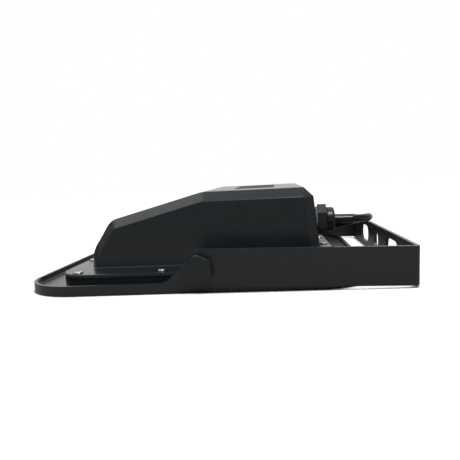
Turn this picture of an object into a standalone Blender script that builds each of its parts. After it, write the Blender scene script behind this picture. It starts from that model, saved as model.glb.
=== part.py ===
"""A die-cast solar floodlight lying on its glass, with its mounting yoke folded down beside it.

Metres, +Z up. The origin is at the middle of the whole object's footprint. The tray lies along X, the
yoke's crossbar is at the +X end, and the pivot bolts run along Y.
"""
import math

import bmesh
import bpy
from mathutils import Matrix, Vector

# Clearances, and how far a cutter runs past what it cuts
GAP = 0.0003
OVERRUN = 0.002
WELD_DISTANCE = 0.000001
ROUND_SEGMENTS = 24
SMALL_SEGMENTS = 12
TINY_SEGMENTS = 8
ARC_SEGMENTS = 6
EDGE_SEGMENTS = 2
SMOOTH_ANGLE = math.radians(35)
FLAT_ANGLE = math.radians(1)
EDGE_ANGLE = math.radians(25)

# Cast tray
TRAY_LENGTH = 0.2427
TRAY_WIDTH = 0.2516
TRAY_CORNER_RADIUS = 0.038
TRAY_CORNER_SEGMENTS = 10
TRAY_BOTTOM_EDGE = 0.0005
RIM_HEIGHT = 0.0069
RIM_THICKNESS = 0.0022
FLOOR_TOP = 0.0032
FLOOR_FILLET = 0.0009

# Raised pad that carries the cover's flange
PAD_END_MARGIN = 0.0211
PAD_OFFSET = 0.0009
PAD_SIDE_MARGIN = 0.0146
PAD_CORNER_RADIUS = 0.023
PAD_TOP = 0.0081
PAD_SKIN = 0.0019

# Front of the light, under the pad
GLASS_THICKNESS = 0.003
GLASS_RECESS = 0.0003
GLASS_INSET = 0.0031
SEAL_THICKNESS = 0.0004
LEDGE_WIDTH = 0.0065
LED_BOARD_THICKNESS = 0.0012
LED_BOARD_PLAY = 0.001
LED_CHIP_SIZE = 0.003
LED_CHIP_HEIGHT = 0.0009
LED_EDGE_MARGIN = 0.0145
LED_COLUMNS = 8
LED_ROWS = 9
LED_SCREW_PITCHES_X = 6
LED_SCREW_PITCHES_Y = 7
LED_SCREW_HEAD_HEIGHT = 0.0008
LED_BOSS_RADIUS = 0.0035
LED_BOSS_HEIGHT = 0.0028
LED_SCREW_END_MARGIN = 0.0012

# Machine screws of the two circuit boards
M3_RADIUS = 0.0015
M3_HEAD_RADIUS = 0.00275
M3_HEAD_HEIGHT = 0.002

# Cover flange and gasket
GASKET_THICKNESS = 0.0007
GASKET_WIDTH = 0.013
FLANGE_THICKNESS = 0.0022
FLANGE_EDGE = 0.0006
COVER_WALL = 0.0026

# Battery cover: the flange's free width round it, then its outline along the tray
FLANGE_LEFT = 0.0182
FLANGE_RIGHT = 0.0143
FLANGE_SIDE = 0.0258
BUMP_TOP = 0.064
BUMP_SIDE_DRAFT = 0.052
BUMP_KNEE_SETBACK = 0.0009
BUMP_KNEE_Z = 0.0264
BUMP_SHOULDER_SETBACK = 0.0133
BUMP_SHOULDER_Z = 0.0459
BUMP_CREST_SHARE = 0.4946
BUMP_END_LEAN = 0.004
BUMP_CHAMFER = 0.0068
BUMP_LEFT_CHAMFER = 0.0024
BUMP_CORNER_SHARE = 0.82
BUMP_SOFT_EDGE = 0.0005
KNEE_RADIUS = 0.02
SHOULDER_RADIUS = 0.012
CREST_RADIUS = 0.02

# Bare label place on the cover's top
LABEL_LENGTH = 0.032
LABEL_WIDTH = 0.086
LABEL_DEPTH = 0.0009
LABEL_THICKNESS = 0.0004
LABEL_CORNER_RADIUS = 0.002

# Cover screws, all round the flange, their heads sunk in counterbores
COVER_SCREW_RADIUS = 0.0015
COVER_SCREW_HEAD_RADIUS = 0.003
COVER_SCREW_HEAD_HEIGHT = 0.0021
COVER_SCREW_HEAD_EDGE = 0.0007
COVER_SCREW_END = 0.005
ROW_SCREW_INSET = 0.0075
COLUMN_SCREW_INSET = 0.0055
COUNTERBORE_RADIUS = 0.0041
COUNTERBORE_DEPTH = 0.0012
ROW_SCREW_END_MARGIN = 0.01425
ROW_SCREW_INNER_SHARE = 0.305
COLUMN_SCREW_END_MARGIN = 0.0647

# Pivot and ears
PIVOT_OFFSET = 0.00465
PIVOT_HEIGHT = 0.0167
EAR_THICKNESS = 0.005
EAR_INSET = 0.0001
EAR_RADIUS = 0.0085
EAR_SLOPE = math.radians(42)
EAR_BLEND_RADIUS = 0.008

# Yoke, bent from flat steel strip
STRIP_HEIGHT = 0.025
STRIP_THICKNESS = 0.0025
ARM_GAP = 0.0011
SWING_CLEARANCE = 0.01005
YOKE_TILT = math.radians(1.25)
YOKE_BEND_RADIUS = 0.003
ARM_TAIL = 0.0092
ARM_END_RADIUS = 0.006
SLOT_LENGTH = 0.041
SLOT_HEIGHT = 0.015
SLOT_OFFSET = 0.0578
CENTRE_HOLE_RADIUS = 0.0085

# Pivot bolt, nut and washers
BOLT_RADIUS = 0.005
BOLT_FLATS = 0.017
BOLT_HEAD_HEIGHT = 0.0064
BOLT_HEAD_EDGE = 0.0008
BOLT_TURN = math.radians(5.5)
BOLT_END_PROUD = 0.0011
NUT_HEIGHT = 0.005
SPRING_WASHER_THICKNESS = 0.0016
SPRING_WASHER_RADIUS = 0.0082

# Cable gland, on the cover's right end
GLAND_SIDE_INSET = 0.018
GLAND_HEIGHT_SHARE = 0.5286
GLAND_SEAT_SETBACK = 0.0029
GLAND_BOSS_RADIUS = 0.0113
GLAND_BOSS_THICKNESS = 0.0035
GLAND_WASHER_RADIUS = 0.0097
GLAND_WASHER_THICKNESS = 0.0012
GLAND_FLATS = 0.0197
GLAND_HEX_LENGTH = 0.0063
GLAND_THREAD_RADIUS = 0.0079
GLAND_THREAD_PROUD = 0.0012
GLAND_NECK_RADIUS = 0.0072
GLAND_NECK_LENGTH = 0.004
GLAND_BUSH_WALL = 0.0022
GLAND_BUSH_LENGTH = 0.0035
GLAND_BUSH_SEAT = 0.0008
LOCKNUT_FLATS = 0.0185
LOCKNUT_HEIGHT = 0.004
DOME_RADIUS = 0.009
DOME_LENGTH = 0.0056
DOME_END_WALL = 0.0013
DOME_ROUND = 0.0022

# Lead
LEAD_RADIUS = 0.00295
LEAD_SIDE_RESOLUTION = 2
INNER_WIRE_RADIUS = 0.0015
LEAD_POINT_SPACING = 0.0068
WIRE_POINT_SPACING = 0.0035

# Connector on the lead's end
PLUG_RADIUS = 0.0065
PLUG_LENGTH = 0.026
PLUG_RELIEF_LENGTH = 0.014
PLUG_RELIEF_END_RADIUS = 0.0042
PLUG_NOSE_RADIUS = 0.0052
PLUG_NOSE_LENGTH = 0.012
PLUG_SOCKET_DEPTH = 0.0115
PLUG_SHELL = 0.0012
COLLAR_RADIUS = 0.0075
COLLAR_WALL = 0.0016
COLLAR_LENGTH = 0.011
COLLAR_NOTCHES = 12
COLLAR_NOTCH_RADIUS = 0.0008
PIN_RADIUS = 0.0009
PIN_LENGTH = 0.0034
PIN_DISC_THICKNESS = 0.0016
PIN_SPACING = 0.0044
PLUG_Y = 0.0945
PLUG_START_FROM_LEFT = 0.0835

# Battery
CELL_RADIUS = 0.0161
BATTERY_SIDE_ROOM = 0.0158
CELL_PITCH = 0.033
CELL_COLUMNS = 2
CELL_SPACE = 0.0005
BATTERY_GAP_SHARE = 0.33
CRADLE_HEIGHT = 0.0076
CRADLE_FLOOR = 0.0026
CRADLE_MARGIN = 0.0015
CRADLE_END_WALL = 0.002
STRAP_THICKNESS = 0.001
STRAP_WIDTH = 0.04
STRAP_CORNER_RADIUS = 0.008

# Control board
BOARD_END_ROOM = 0.0022
BOARD_SIDE_ROOM = 0.0278
BOARD_LENGTH = 0.034
BOARD_THICKNESS = 0.0016
POST_HEIGHT = 0.0044
POST_RADIUS = 0.0035
POST_INSET = 0.004
POST_HOLE_FLOOR = 0.0008
INDUCTOR_RADIUS = 0.0065
INDUCTOR_TUBE_RADIUS = 0.0028
INDUCTOR_SHARE = 0.11
CAPACITOR_RADIUS = 0.005
CAPACITOR_HEIGHT = 0.016
CAPACITOR_SHARE = -0.11
TERMINAL_LENGTH = 0.016
TERMINAL_WIDTH = 0.01
TERMINAL_HEIGHT = 0.011
TERMINAL_SHARE = -0.33
WIRE_HOLE_RADIUS = 0.0022
WIRE_HOLE_MARGIN = 0.007
WIRE_START_SHARE = 0.44

# Places worked out from the sizes above
YOKE_OUTER_WIDTH = TRAY_WIDTH + 2 * (ARM_GAP + STRIP_THICKNESS)
PIVOT_FROM_LEFT = TRAY_LENGTH / 2 + PIVOT_OFFSET
TRAY_REACH = max(PIVOT_FROM_LEFT, TRAY_LENGTH - PIVOT_FROM_LEFT)
YOKE_REACH = TRAY_REACH + SWING_CLEARANCE + STRIP_THICKNESS
OBJECT_LENGTH = (
    PIVOT_FROM_LEFT + YOKE_REACH * math.cos(YOKE_TILT) + STRIP_HEIGHT / 2 * math.sin(YOKE_TILT)
)
TRAY_LEFT_X = -OBJECT_LENGTH / 2
TRAY_X = TRAY_LEFT_X + TRAY_LENGTH / 2
PAD_X = TRAY_X + PAD_OFFSET
PIVOT_X = TRAY_LEFT_X + PIVOT_FROM_LEFT
PAD_LENGTH = TRAY_LENGTH - 2 * PAD_END_MARGIN
PAD_WIDTH = TRAY_WIDTH - 2 * PAD_SIDE_MARGIN
PAD_UNDERSIDE = PAD_TOP - PAD_SKIN
GLASS_CORNER_RADIUS = PAD_CORNER_RADIUS - GLASS_INSET
GLASS_TOP = GLASS_RECESS + GLASS_THICKNESS
LEDGE_HEIGHT = GLASS_TOP + SEAL_THICKNESS + 2 * GAP
RECESS_LENGTH = PAD_LENGTH - 2 * GLASS_INSET
RECESS_WIDTH = PAD_WIDTH - 2 * GLASS_INSET
ROOM_LENGTH = RECESS_LENGTH - 2 * LEDGE_WIDTH
ROOM_WIDTH = RECESS_WIDTH - 2 * LEDGE_WIDTH
LED_BOARD_BOTTOM = PAD_UNDERSIDE - GAP - LED_BOARD_THICKNESS
LED_BOARD_LENGTH = ROOM_LENGTH - 2 * LED_BOARD_PLAY
LED_BOARD_WIDTH = ROOM_WIDTH - 2 * LED_BOARD_PLAY
LED_PITCH_X = (LED_BOARD_LENGTH - 2 * LED_EDGE_MARGIN) / (LED_COLUMNS - 1)
LED_PITCH_Y = (LED_BOARD_WIDTH - 2 * LED_EDGE_MARGIN) / (LED_ROWS - 1)
FLANGE_BOTTOM = PAD_TOP + GASKET_THICKNESS + 2 * GAP
FLANGE_TOP = FLANGE_BOTTOM + FLANGE_THICKNESS
BUMP_LEFT = PAD_END_MARGIN + PAD_OFFSET + FLANGE_LEFT
BUMP_RIGHT = TRAY_LENGTH - PAD_END_MARGIN + PAD_OFFSET - FLANGE_RIGHT
BUMP_HALF_WIDTH = PAD_WIDTH / 2 - FLANGE_SIDE
BUMP_CREST_X = BUMP_LEFT + BUMP_CREST_SHARE * (BUMP_RIGHT - BUMP_LEFT)
BUMP_TOP_RIGHT_X = BUMP_RIGHT - BUMP_END_LEAN
LABEL_FROM_LEFT = (BUMP_CREST_X + BUMP_TOP_RIGHT_X - BUMP_CHAMFER) / 2
GLAND_SEAT_X = TRAY_LEFT_X + BUMP_RIGHT - GLAND_SEAT_SETBACK
GLAND_Y = GLAND_SIDE_INSET - BUMP_HALF_WIDTH
GLAND_Z = FLANGE_TOP + GLAND_HEIGHT_SHARE * (BUMP_TOP - FLANGE_TOP)
GLAND_HEX_START = GAP + GLAND_WASHER_THICKNESS + GAP
DOME_START = GLAND_HEX_START + GLAND_HEX_LENGTH + GAP
DOME_END = DOME_START + DOME_LENGTH
INNER_HALF_WIDTH = BUMP_HALF_WIDTH - COVER_WALL
BOARD_LEFT = BUMP_LEFT + COVER_WALL + BOARD_END_ROOM
BOARD_X = TRAY_LEFT_X + BOARD_LEFT + BOARD_LENGTH / 2
BOARD_WIDTH = 2 * (INNER_HALF_WIDTH - BOARD_SIDE_ROOM)
INDUCTOR_Y = INDUCTOR_SHARE * BOARD_WIDTH
CAPACITOR_Y = CAPACITOR_SHARE * BOARD_WIDTH
TERMINAL_Y = TERMINAL_SHARE * BOARD_WIDTH
WIRE_HOLE_Y = BOARD_WIDTH / 2 + WIRE_HOLE_MARGIN
WIRE_START_Y = WIRE_START_SHARE * BOARD_WIDTH
CELL_LENGTH = INNER_HALF_WIDTH - BATTERY_SIDE_ROOM
CELL_Z = PAD_TOP + GAP + CRADLE_FLOOR + GAP + CELL_RADIUS
BATTERY_LENGTH = CELL_COLUMNS * CELL_PITCH + 2 * (CRADLE_MARGIN + GAP + STRAP_THICKNESS)
BATTERY_FREE_LENGTH = BUMP_RIGHT - COVER_WALL - BOARD_LEFT - BOARD_LENGTH - BATTERY_LENGTH
BATTERY_X = BOARD_X + BOARD_LENGTH / 2 + BATTERY_GAP_SHARE * BATTERY_FREE_LENGTH + BATTERY_LENGTH / 2
POST_TOP = PAD_TOP + POST_HEIGHT
BOARD_TOP = POST_TOP + GAP + BOARD_THICKNESS
PLUG_Z = FLANGE_TOP + GAP + COLLAR_RADIUS
PLUG_START_X = TRAY_LEFT_X + PLUG_START_FROM_LEFT

# The lead's route from the gland to its connector, measured from the tray's left end
LEAD_ROUTE = (
    (0.2272, -0.0674, 0.0391),
    (0.2340, -0.0663, 0.0389),
    (0.2402, -0.0629, 0.0388),
    (0.2450, -0.0578, 0.0387),
    (0.2473, -0.0511, 0.0385),
    (0.2472, -0.0440, 0.0377),
    (0.2445, -0.0374, 0.0363),
    (0.2396, -0.0318, 0.0346),
    (0.2332, -0.0272, 0.0328),
    (0.2266, -0.0219, 0.0309),
    (0.2208, -0.0144, 0.0287),
    (0.2166, -0.0046, 0.0261),
    (0.2146, 0.0050, 0.0239),
    (0.2140, 0.0140, 0.0219),
    (0.2142, 0.0270, 0.0201),
    (0.2144, 0.0390, 0.0189),
    (0.2144, 0.0510, 0.0178),
    (0.2142, 0.0630, 0.0164),
    (0.2126, 0.0750, 0.0152),
    (0.2078, 0.0862, 0.0149),
    (0.1995, 0.0926, 0.01485),
    (0.1890, 0.0944, 0.01485),
    (0.1740, 0.0938, 0.01485),
    (0.1560, 0.0930, 0.01485),
    (0.1380, 0.0930, 0.01485),
    (0.1220, 0.0935, 0.0149),
    (0.1100, 0.0941, 0.0159),
    (0.1010, 0.0945, 0.0182),
    (0.0930, 0.0945, 0.0194),
)


def clear_scene() -> None:
    """Remove every object, so the model starts from an empty scene."""
    for item in list(bpy.data.objects):
        bpy.data.objects.remove(item, do_unlink=True)


def make_collection(name: str) -> bpy.types.Collection:
    """Add a collection to the scene."""
    collection = bpy.data.collections.new(name)
    bpy.context.scene.collection.children.link(collection)
    return collection


clear_scene()
PARTS = make_collection("Solar floodlight")
CUTTERS = make_collection("Cutters")


def make_material(name: str, colour: tuple, roughness: float, metallic: float = 0.0) -> bpy.types.Material:
    """A Principled material with the piece's colour, roughness and metallic value."""
    material = bpy.data.materials.new(name)
    material.use_nodes = True
    shader = material.node_tree.nodes["Principled BSDF"]
    shader.inputs["Base Color"].default_value = (*colour, 1.0)
    shader.inputs["Roughness"].default_value = roughness
    shader.inputs["Metallic"].default_value = metallic
    return material


def add_part(name: str, mesh: bpy.types.Mesh, place: Vector, finish: bpy.types.Material) -> bpy.types.Object:
    """Add a sub-part to the model's collection."""
    mesh.materials.clear()
    mesh.materials.append(finish)
    piece = bpy.data.objects.new(name, mesh)
    piece.location = place
    PARTS.objects.link(piece)
    return piece


def add_copies(names: list, mesh: bpy.types.Mesh, matrices: list, finish: bpy.types.Material) -> None:
    """Add one sub-part for each place, all sharing one mesh."""
    for name, matrix in zip(names, matrices):
        piece = add_part(name, mesh, Vector(), finish)
        piece.matrix_world = matrix


def numbered(name: str, count: int) -> list:
    """Names for the copies of a piece: name_01, name_02 and so on."""
    return [f"{name}_{index + 1:02d}" for index in range(count)]


def add_cutter(name: str, mesh: bpy.types.Mesh, place: Vector) -> bpy.types.Object:
    """Add a shape that only cuts, or is joined to, another piece."""
    cutter = bpy.data.objects.new(name, mesh)
    cutter.location = place
    cutter.hide_render = True
    cutter.display_type = "WIRE"
    CUTTERS.objects.link(cutter)
    return cutter


def combine(piece: bpy.types.Object, other: bpy.types.Object, operation: str) -> None:
    """Add a Boolean modifier that cuts the other shape away or joins it on."""
    modifier = piece.modifiers.new(other.name, "BOOLEAN")
    modifier.operation = operation
    modifier.solver = "EXACT"
    modifier.object = other


def finished_mesh(work: bmesh.types.BMesh, name: str, smooth: bool = False) -> bpy.types.Mesh:
    """Turn an edit mesh into mesh data, shaded smooth where asked."""
    mesh = bpy.data.meshes.new(name)
    work.to_mesh(mesh)
    work.free()
    if smooth:
        mesh.shade_smooth()
        mesh.set_sharp_from_angle(angle=SMOOTH_ANGLE)
    return mesh


def baked_mesh(piece: bpy.types.Object, name: str) -> bpy.types.Mesh:
    """The mesh of a curve or of a piece with modifiers, welded closed; the piece itself is removed."""
    bpy.context.view_layer.update()
    graph = bpy.context.evaluated_depsgraph_get()
    mesh = bpy.data.meshes.new_from_object(piece.evaluated_get(graph))
    matrix = piece.matrix_world.copy()
    bpy.data.objects.remove(piece)
    work = bmesh.new()
    work.from_mesh(mesh)
    bmesh.ops.transform(work, matrix=matrix, verts=work.verts)
    bmesh.ops.remove_doubles(work, verts=work.verts, dist=WELD_DISTANCE)
    bmesh.ops.recalc_face_normals(work, faces=work.faces)
    return finished_mesh(work, name, smooth=True)


def block_mesh(name: str, size: Vector, bottom: float = 0.0, corner: float = 0.0, top_edge: float = 0.0,
               bottom_edge: float = 0.0, segments: int = ARC_SEGMENTS) -> bpy.types.Mesh:
    """A box centred in plan, with its upright edges and, where asked, its top or bottom edges rounded."""
    work = bmesh.new()
    bmesh.ops.create_cube(work, size=1.0)
    bmesh.ops.scale(work, vec=size, verts=work.verts)
    bmesh.ops.translate(work, vec=(0, 0, bottom + size[2] / 2), verts=work.verts)
    if corner:
        upright = [edge for edge in work.edges if abs(edge.verts[0].co.z - edge.verts[1].co.z) > size[2] / 2]
        bmesh.ops.bevel(work, geom=upright, offset=corner, segments=segments, affect="EDGES", profile=0.5)
    for height, radius in ((bottom + size[2], top_edge), (bottom, bottom_edge)):
        if radius:
            level = [edge for edge in work.edges
                     if all(abs(vert.co.z - height) < WELD_DISTANCE for vert in edge.verts)]
            bmesh.ops.bevel(work, geom=level, offset=radius, segments=EDGE_SEGMENTS, affect="EDGES", profile=0.5)
    return finished_mesh(work, name, smooth=bool(corner))


def cylinder_mesh(name: str, radius: float, start: float, end: float, segments: int = ROUND_SEGMENTS,
                  end_edge: float = 0.0) -> bpy.types.Mesh:
    """A cylinder along Z from start to end, with its edge at the end rounded where asked."""
    work = bmesh.new()
    bmesh.ops.create_cone(work, cap_ends=True, segments=segments, radius1=radius, radius2=radius,
                          depth=end - start)
    bmesh.ops.translate(work, vec=(0, 0, (start + end) / 2), verts=work.verts)
    if end_edge:
        rim = [edge for edge in work.edges if all(abs(vert.co.z - end) < WELD_DISTANCE for vert in edge.verts)]
        bmesh.ops.bevel(work, geom=rim, offset=end_edge, segments=EDGE_SEGMENTS, affect="EDGES", profile=0.5)
    return finished_mesh(work, name, smooth=segments > ARC_SEGMENTS)


def hexagon_mesh(name: str, flats: float, start: float, end: float, end_edge: float = 0.0) -> bpy.types.Mesh:
    """A hexagonal prism along Z with two corners on the Y axis."""
    return cylinder_mesh(name, flats / math.sqrt(3), start, end, 6, end_edge)


def turned_mesh(name: str, profile: list, segments: int = ROUND_SEGMENTS) -> bpy.types.Mesh:
    """A body turned about Z from a closed profile of (radius, height) points."""
    mesh = bpy.data.meshes.new(name)
    count = len(profile)
    edges = [(index, (index + 1) % count) for index in range(count)]
    mesh.from_pydata([(radius, 0, height) for radius, height in profile], edges, [])
    piece = bpy.data.objects.new(name, mesh)
    bpy.context.scene.collection.objects.link(piece)
    screw = piece.modifiers.new("Turn", "SCREW")
    screw.steps = segments
    screw.render_steps = segments
    screw.use_merge_vertices = True
    screw.merge_threshold = WELD_DISTANCE
    return baked_mesh(piece, name)


def tube_mesh(name: str, outer: float, inner: float, start: float, end: float,
              segments: int = ROUND_SEGMENTS) -> bpy.types.Mesh:
    """A plain ring or tube about Z."""
    return turned_mesh(name, [(outer, end), (outer, start), (inner, start), (inner, end)], segments)


def plate_mesh(name: str, outline: list, thickness: float) -> bpy.types.Mesh:
    """A flat plate from a closed outline in X and Y, centred on Z = 0."""
    curve = bpy.data.curves.new(name, "CURVE")
    curve.dimensions = "2D"
    curve.fill_mode = "BOTH"
    curve.extrude = thickness / 2
    spline = curve.splines.new("POLY")
    spline.points.add(len(outline) - 1)
    for point, (along, across) in zip(spline.points, outline):
        point.co = (along, across, 0, 1)
    spline.use_cyclic_u = True
    piece = bpy.data.objects.new(name, curve)
    bpy.context.scene.collection.objects.link(piece)
    return baked_mesh(piece, name)


def cable_mesh(name: str, points: list, radius: float) -> bpy.types.Mesh:
    """A round cable along a line of points, with closed ends."""
    curve = bpy.data.curves.new(name, "CURVE")
    curve.dimensions = "3D"
    curve.bevel_depth = radius
    curve.bevel_resolution = LEAD_SIDE_RESOLUTION
    curve.use_fill_caps = True
    spline = curve.splines.new("POLY")
    spline.points.add(len(points) - 1)
    for point, place in zip(spline.points, points):
        point.co = (*place, 1)
    piece = bpy.data.objects.new(name, curve)
    bpy.context.scene.collection.objects.link(piece)
    return baked_mesh(piece, name)


def moved_mesh(mesh: bpy.types.Mesh, matrix: Matrix) -> bpy.types.Mesh:
    """The same mesh data, turned and moved."""
    mesh.transform(matrix)
    return mesh


def grouped_mesh(name: str, mesh: bpy.types.Mesh, matrices: list) -> bpy.types.Mesh:
    """Copies of one solid at several places, as separate solids of one mesh."""
    work = bmesh.new()
    for matrix in matrices:
        copy = mesh.copy()
        copy.transform(matrix)
        work.from_mesh(copy)
        bpy.data.meshes.remove(copy)
    return finished_mesh(work, name)


def arc(centre: tuple, radius: float, start: float, end: float, segments: int = ARC_SEGMENTS) -> list:
    """Points on an arc in a plane, from one angle to another."""
    angles = [start + (end - start) * step / segments for step in range(segments + 1)]
    return [(centre[0] + radius * math.cos(angle), centre[1] + radius * math.sin(angle)) for angle in angles]


def rounded_corner(before: tuple, corner: tuple, after: tuple, radius: float) -> list:
    """The arc that rounds one corner of an outline."""
    middle = Vector(corner)
    inward = (Vector(before) - middle).normalized()
    outward = (Vector(after) - middle).normalized()
    half = inward.angle(outward) / 2
    reach = radius / math.tan(half)
    first = middle + inward * reach
    last = middle + outward * reach
    centre = middle + (inward + outward).normalized() * (radius / math.sin(half))
    points = []
    for step in range(ARC_SEGMENTS + 1):
        share = step / ARC_SEGMENTS
        chord = first.lerp(last, share) - centre
        points.append(tuple(centre + chord.normalized() * radius))
    return points


def smooth_route(points: list, spacing: float) -> list:
    """Points at even spacing along a smooth curve through the route's own points."""
    places = [Vector(point) for point in points]
    ends = [places[0] * 2 - places[1], *places, places[-1] * 2 - places[-2]]
    fine = []
    for before, first, last, after in zip(ends, ends[1:], ends[2:], ends[3:]):
        steps = ARC_SEGMENTS * 2
        for step in range(steps):
            share = step / steps
            fine.append(
                0.5 * (2 * first + (last - before) * share
                       + (2 * before - 5 * first + 4 * last - after) * share ** 2
                       + (3 * first - before - 3 * last + after) * share ** 3)
            )
    fine.append(places[-1])
    lengths = [0.0]
    for first, last in zip(fine, fine[1:]):
        lengths.append(lengths[-1] + (last - first).length)
    count = max(2, round(lengths[-1] / spacing))
    route = []
    for step in range(count + 1):
        target = lengths[-1] * step / count
        index = next(i for i in range(1, len(fine)) if lengths[i] >= target - WELD_DISTANCE)
        span = lengths[index] - lengths[index - 1]
        share = (target - lengths[index - 1]) / span
        route.append(fine[index - 1].lerp(fine[index], min(1.0, share)))
    return route


CAST_BLACK = make_material("cast_black", (0.018, 0.02, 0.022), 0.5)
STEEL_BLACK = make_material("steel_black", (0.02, 0.021, 0.021), 0.48)
SCREW_STEEL = make_material("screw_steel", (0.62, 0.61, 0.58), 0.3, 1.0)
RUBBER_BLACK = make_material("rubber_black", (0.02, 0.02, 0.02), 0.75)
SEAL_BLUE = make_material("seal_blue", (0.2, 0.27, 0.32), 0.5)
NYLON_BLACK = make_material("nylon_black", (0.024, 0.023, 0.022), 0.45)
LEAD_BLACK = make_material("lead_black", (0.012, 0.012, 0.013), 0.2)
LABEL_BLACK = make_material("label_black", (0.03, 0.032, 0.034), 0.4)
CLEAR_GLASS = make_material("clear_glass", (0.85, 0.9, 0.9), 0.05)
SILICONE_GREY = make_material("silicone_grey", (0.5, 0.5, 0.5), 0.6)
BOARD_WHITE = make_material("board_white", (0.8, 0.8, 0.78), 0.4)
BOARD_GREEN = make_material("board_green", (0.03, 0.2, 0.08), 0.4)
CELL_BLUE = make_material("cell_blue", (0.05, 0.16, 0.45), 0.35)
CRADLE_BLACK = make_material("cradle_black", (0.03, 0.03, 0.03), 0.55)
BRASS = make_material("brass", (0.7, 0.5, 0.2), 0.3, 1.0)
FERRITE_GREY = make_material("ferrite_grey", (0.12, 0.12, 0.12), 0.6)
TERMINAL_GREEN = make_material("terminal_green", (0.05, 0.35, 0.12), 0.5)


def ear_outline() -> list:
    """A pivot ear seen from the side, about the pivot: a round lug with sloping, blended feet."""
    rise = EAR_RADIUS * math.cos(EAR_SLOPE)
    top_to_rim = PIVOT_HEIGHT + rise - RIM_HEIGHT
    foot_x = EAR_RADIUS * math.sin(EAR_SLOPE) + top_to_rim / math.tan(EAR_SLOPE)
    foot_z = RIM_HEIGHT - PIVOT_HEIGHT
    tangent = (EAR_RADIUS * math.sin(EAR_SLOPE), rise)
    far_x = foot_x + EAR_BLEND_RADIUS
    blend = rounded_corner(tangent, (foot_x, foot_z), (far_x, foot_z), EAR_BLEND_RADIUS)
    sunk_z = FLOOR_TOP / 2 - PIVOT_HEIGHT
    lug = arc((0, 0), EAR_RADIUS, math.pi / 2 - EAR_SLOPE, math.pi / 2)
    right = [*reversed(lug), *blend, (blend[-1][0], sunk_z)]
    left = [(-along, up) for along, up in reversed(right)]
    return [*left, *right[1:]]


def screw_places() -> list:
    """Where the cover's screws stand in plan, about the pad's middle."""
    row_y = PAD_WIDTH / 2 - ROW_SCREW_INSET
    column_x = PAD_LENGTH / 2 - COLUMN_SCREW_INSET
    row_outer = PAD_LENGTH / 2 - ROW_SCREW_END_MARGIN
    column_outer = PAD_WIDTH / 2 - COLUMN_SCREW_END_MARGIN
    row_inner = ROW_SCREW_INNER_SHARE * row_outer
    rows = [(x, row_y * end) for x in (row_outer, row_inner, -row_inner, -row_outer) for end in (1, -1)]
    columns = [(column_x * side, y) for y in (column_outer, 0, -column_outer) for side in (1, -1)]
    return rows + columns


def led_screw_places() -> list:
    """Where the LED board's screws stand in plan, between the chips and about the pad's middle."""
    along = LED_SCREW_PITCHES_X * LED_PITCH_X / 2
    across = LED_SCREW_PITCHES_Y * LED_PITCH_Y / 2
    return [(along * side, across * end) for side in (1, -1) for end in (1, -1)]


def board_screw_places() -> list:
    """Where the control board's two screws stand in plan, at opposite corners of the board."""
    along = BOARD_LENGTH / 2 - POST_INSET
    across = BOARD_WIDTH / 2 - POST_INSET
    return [(along * side, across * side) for side in (1, -1)]


def at_places(places: list, x: float = 0.0, z: float = 0.0) -> list:
    """Matrices that move a solid to places in plan."""
    return [Matrix.Translation((x + along, across, z)) for along, across in places]


def make_tray() -> bpy.types.Object:
    """The cast back tray with its rim, pad, ears, bosses and the room for the LED board."""
    size = Vector((TRAY_LENGTH, TRAY_WIDTH, RIM_HEIGHT))
    tray = add_part(
        "rear_tray",
        block_mesh("rear_tray", size, 0, TRAY_CORNER_RADIUS, 0, TRAY_BOTTOM_EDGE, TRAY_CORNER_SEGMENTS),
        Vector((TRAY_X, 0, 0)), CAST_BLACK)
    pocket_size = Vector((TRAY_LENGTH - 2 * RIM_THICKNESS, TRAY_WIDTH - 2 * RIM_THICKNESS,
                          RIM_HEIGHT - FLOOR_TOP + OVERRUN))
    pocket = block_mesh("tray_pocket", pocket_size, FLOOR_TOP, TRAY_CORNER_RADIUS - RIM_THICKNESS, 0,
                        FLOOR_FILLET, TRAY_CORNER_SEGMENTS)
    combine(tray, add_cutter("tray_pocket", pocket, Vector((TRAY_X, 0, 0))), "DIFFERENCE")
    pad_bottom = FLOOR_TOP / 2
    pad = block_mesh("tray_pad", Vector((PAD_LENGTH, PAD_WIDTH, PAD_TOP - pad_bottom)), pad_bottom,
                     PAD_CORNER_RADIUS)
    combine(tray, add_cutter("tray_pad", pad, Vector((PAD_X, 0, 0))), "UNION")
    add_ears(tray)
    add_bosses(tray)
    cut_front(tray)
    cut_tray_holes(tray)
    return tray


def add_ears(tray: bpy.types.Object) -> None:
    """Join the two pivot ears to the tray and bore them for the bolts."""
    upright = Matrix.Rotation(math.pi / 2, 4, "X")
    ear_y = TRAY_WIDTH / 2 - EAR_INSET - EAR_THICKNESS / 2
    for name, side in (("near_ear", -1), ("far_ear", 1)):
        mesh = moved_mesh(plate_mesh(name, ear_outline(), EAR_THICKNESS), upright)
        combine(tray, add_cutter(name, mesh, Vector((PIVOT_X, ear_y * side, PIVOT_HEIGHT))), "UNION")
    reach = TRAY_WIDTH / 2 + OVERRUN
    bore_start = TRAY_WIDTH / 2 - EAR_THICKNESS - OVERRUN
    bore = cylinder_mesh("ear_bores", BOLT_RADIUS + GAP, bore_start, reach)
    both = grouped_mesh("ear_bores", bore, [Matrix.Rotation(math.pi / 2, 4, "X"), Matrix.Rotation(-math.pi / 2, 4, "X")])
    combine(tray, add_cutter("ear_bores", both, Vector((PIVOT_X, 0, PIVOT_HEIGHT))), "DIFFERENCE")


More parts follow.
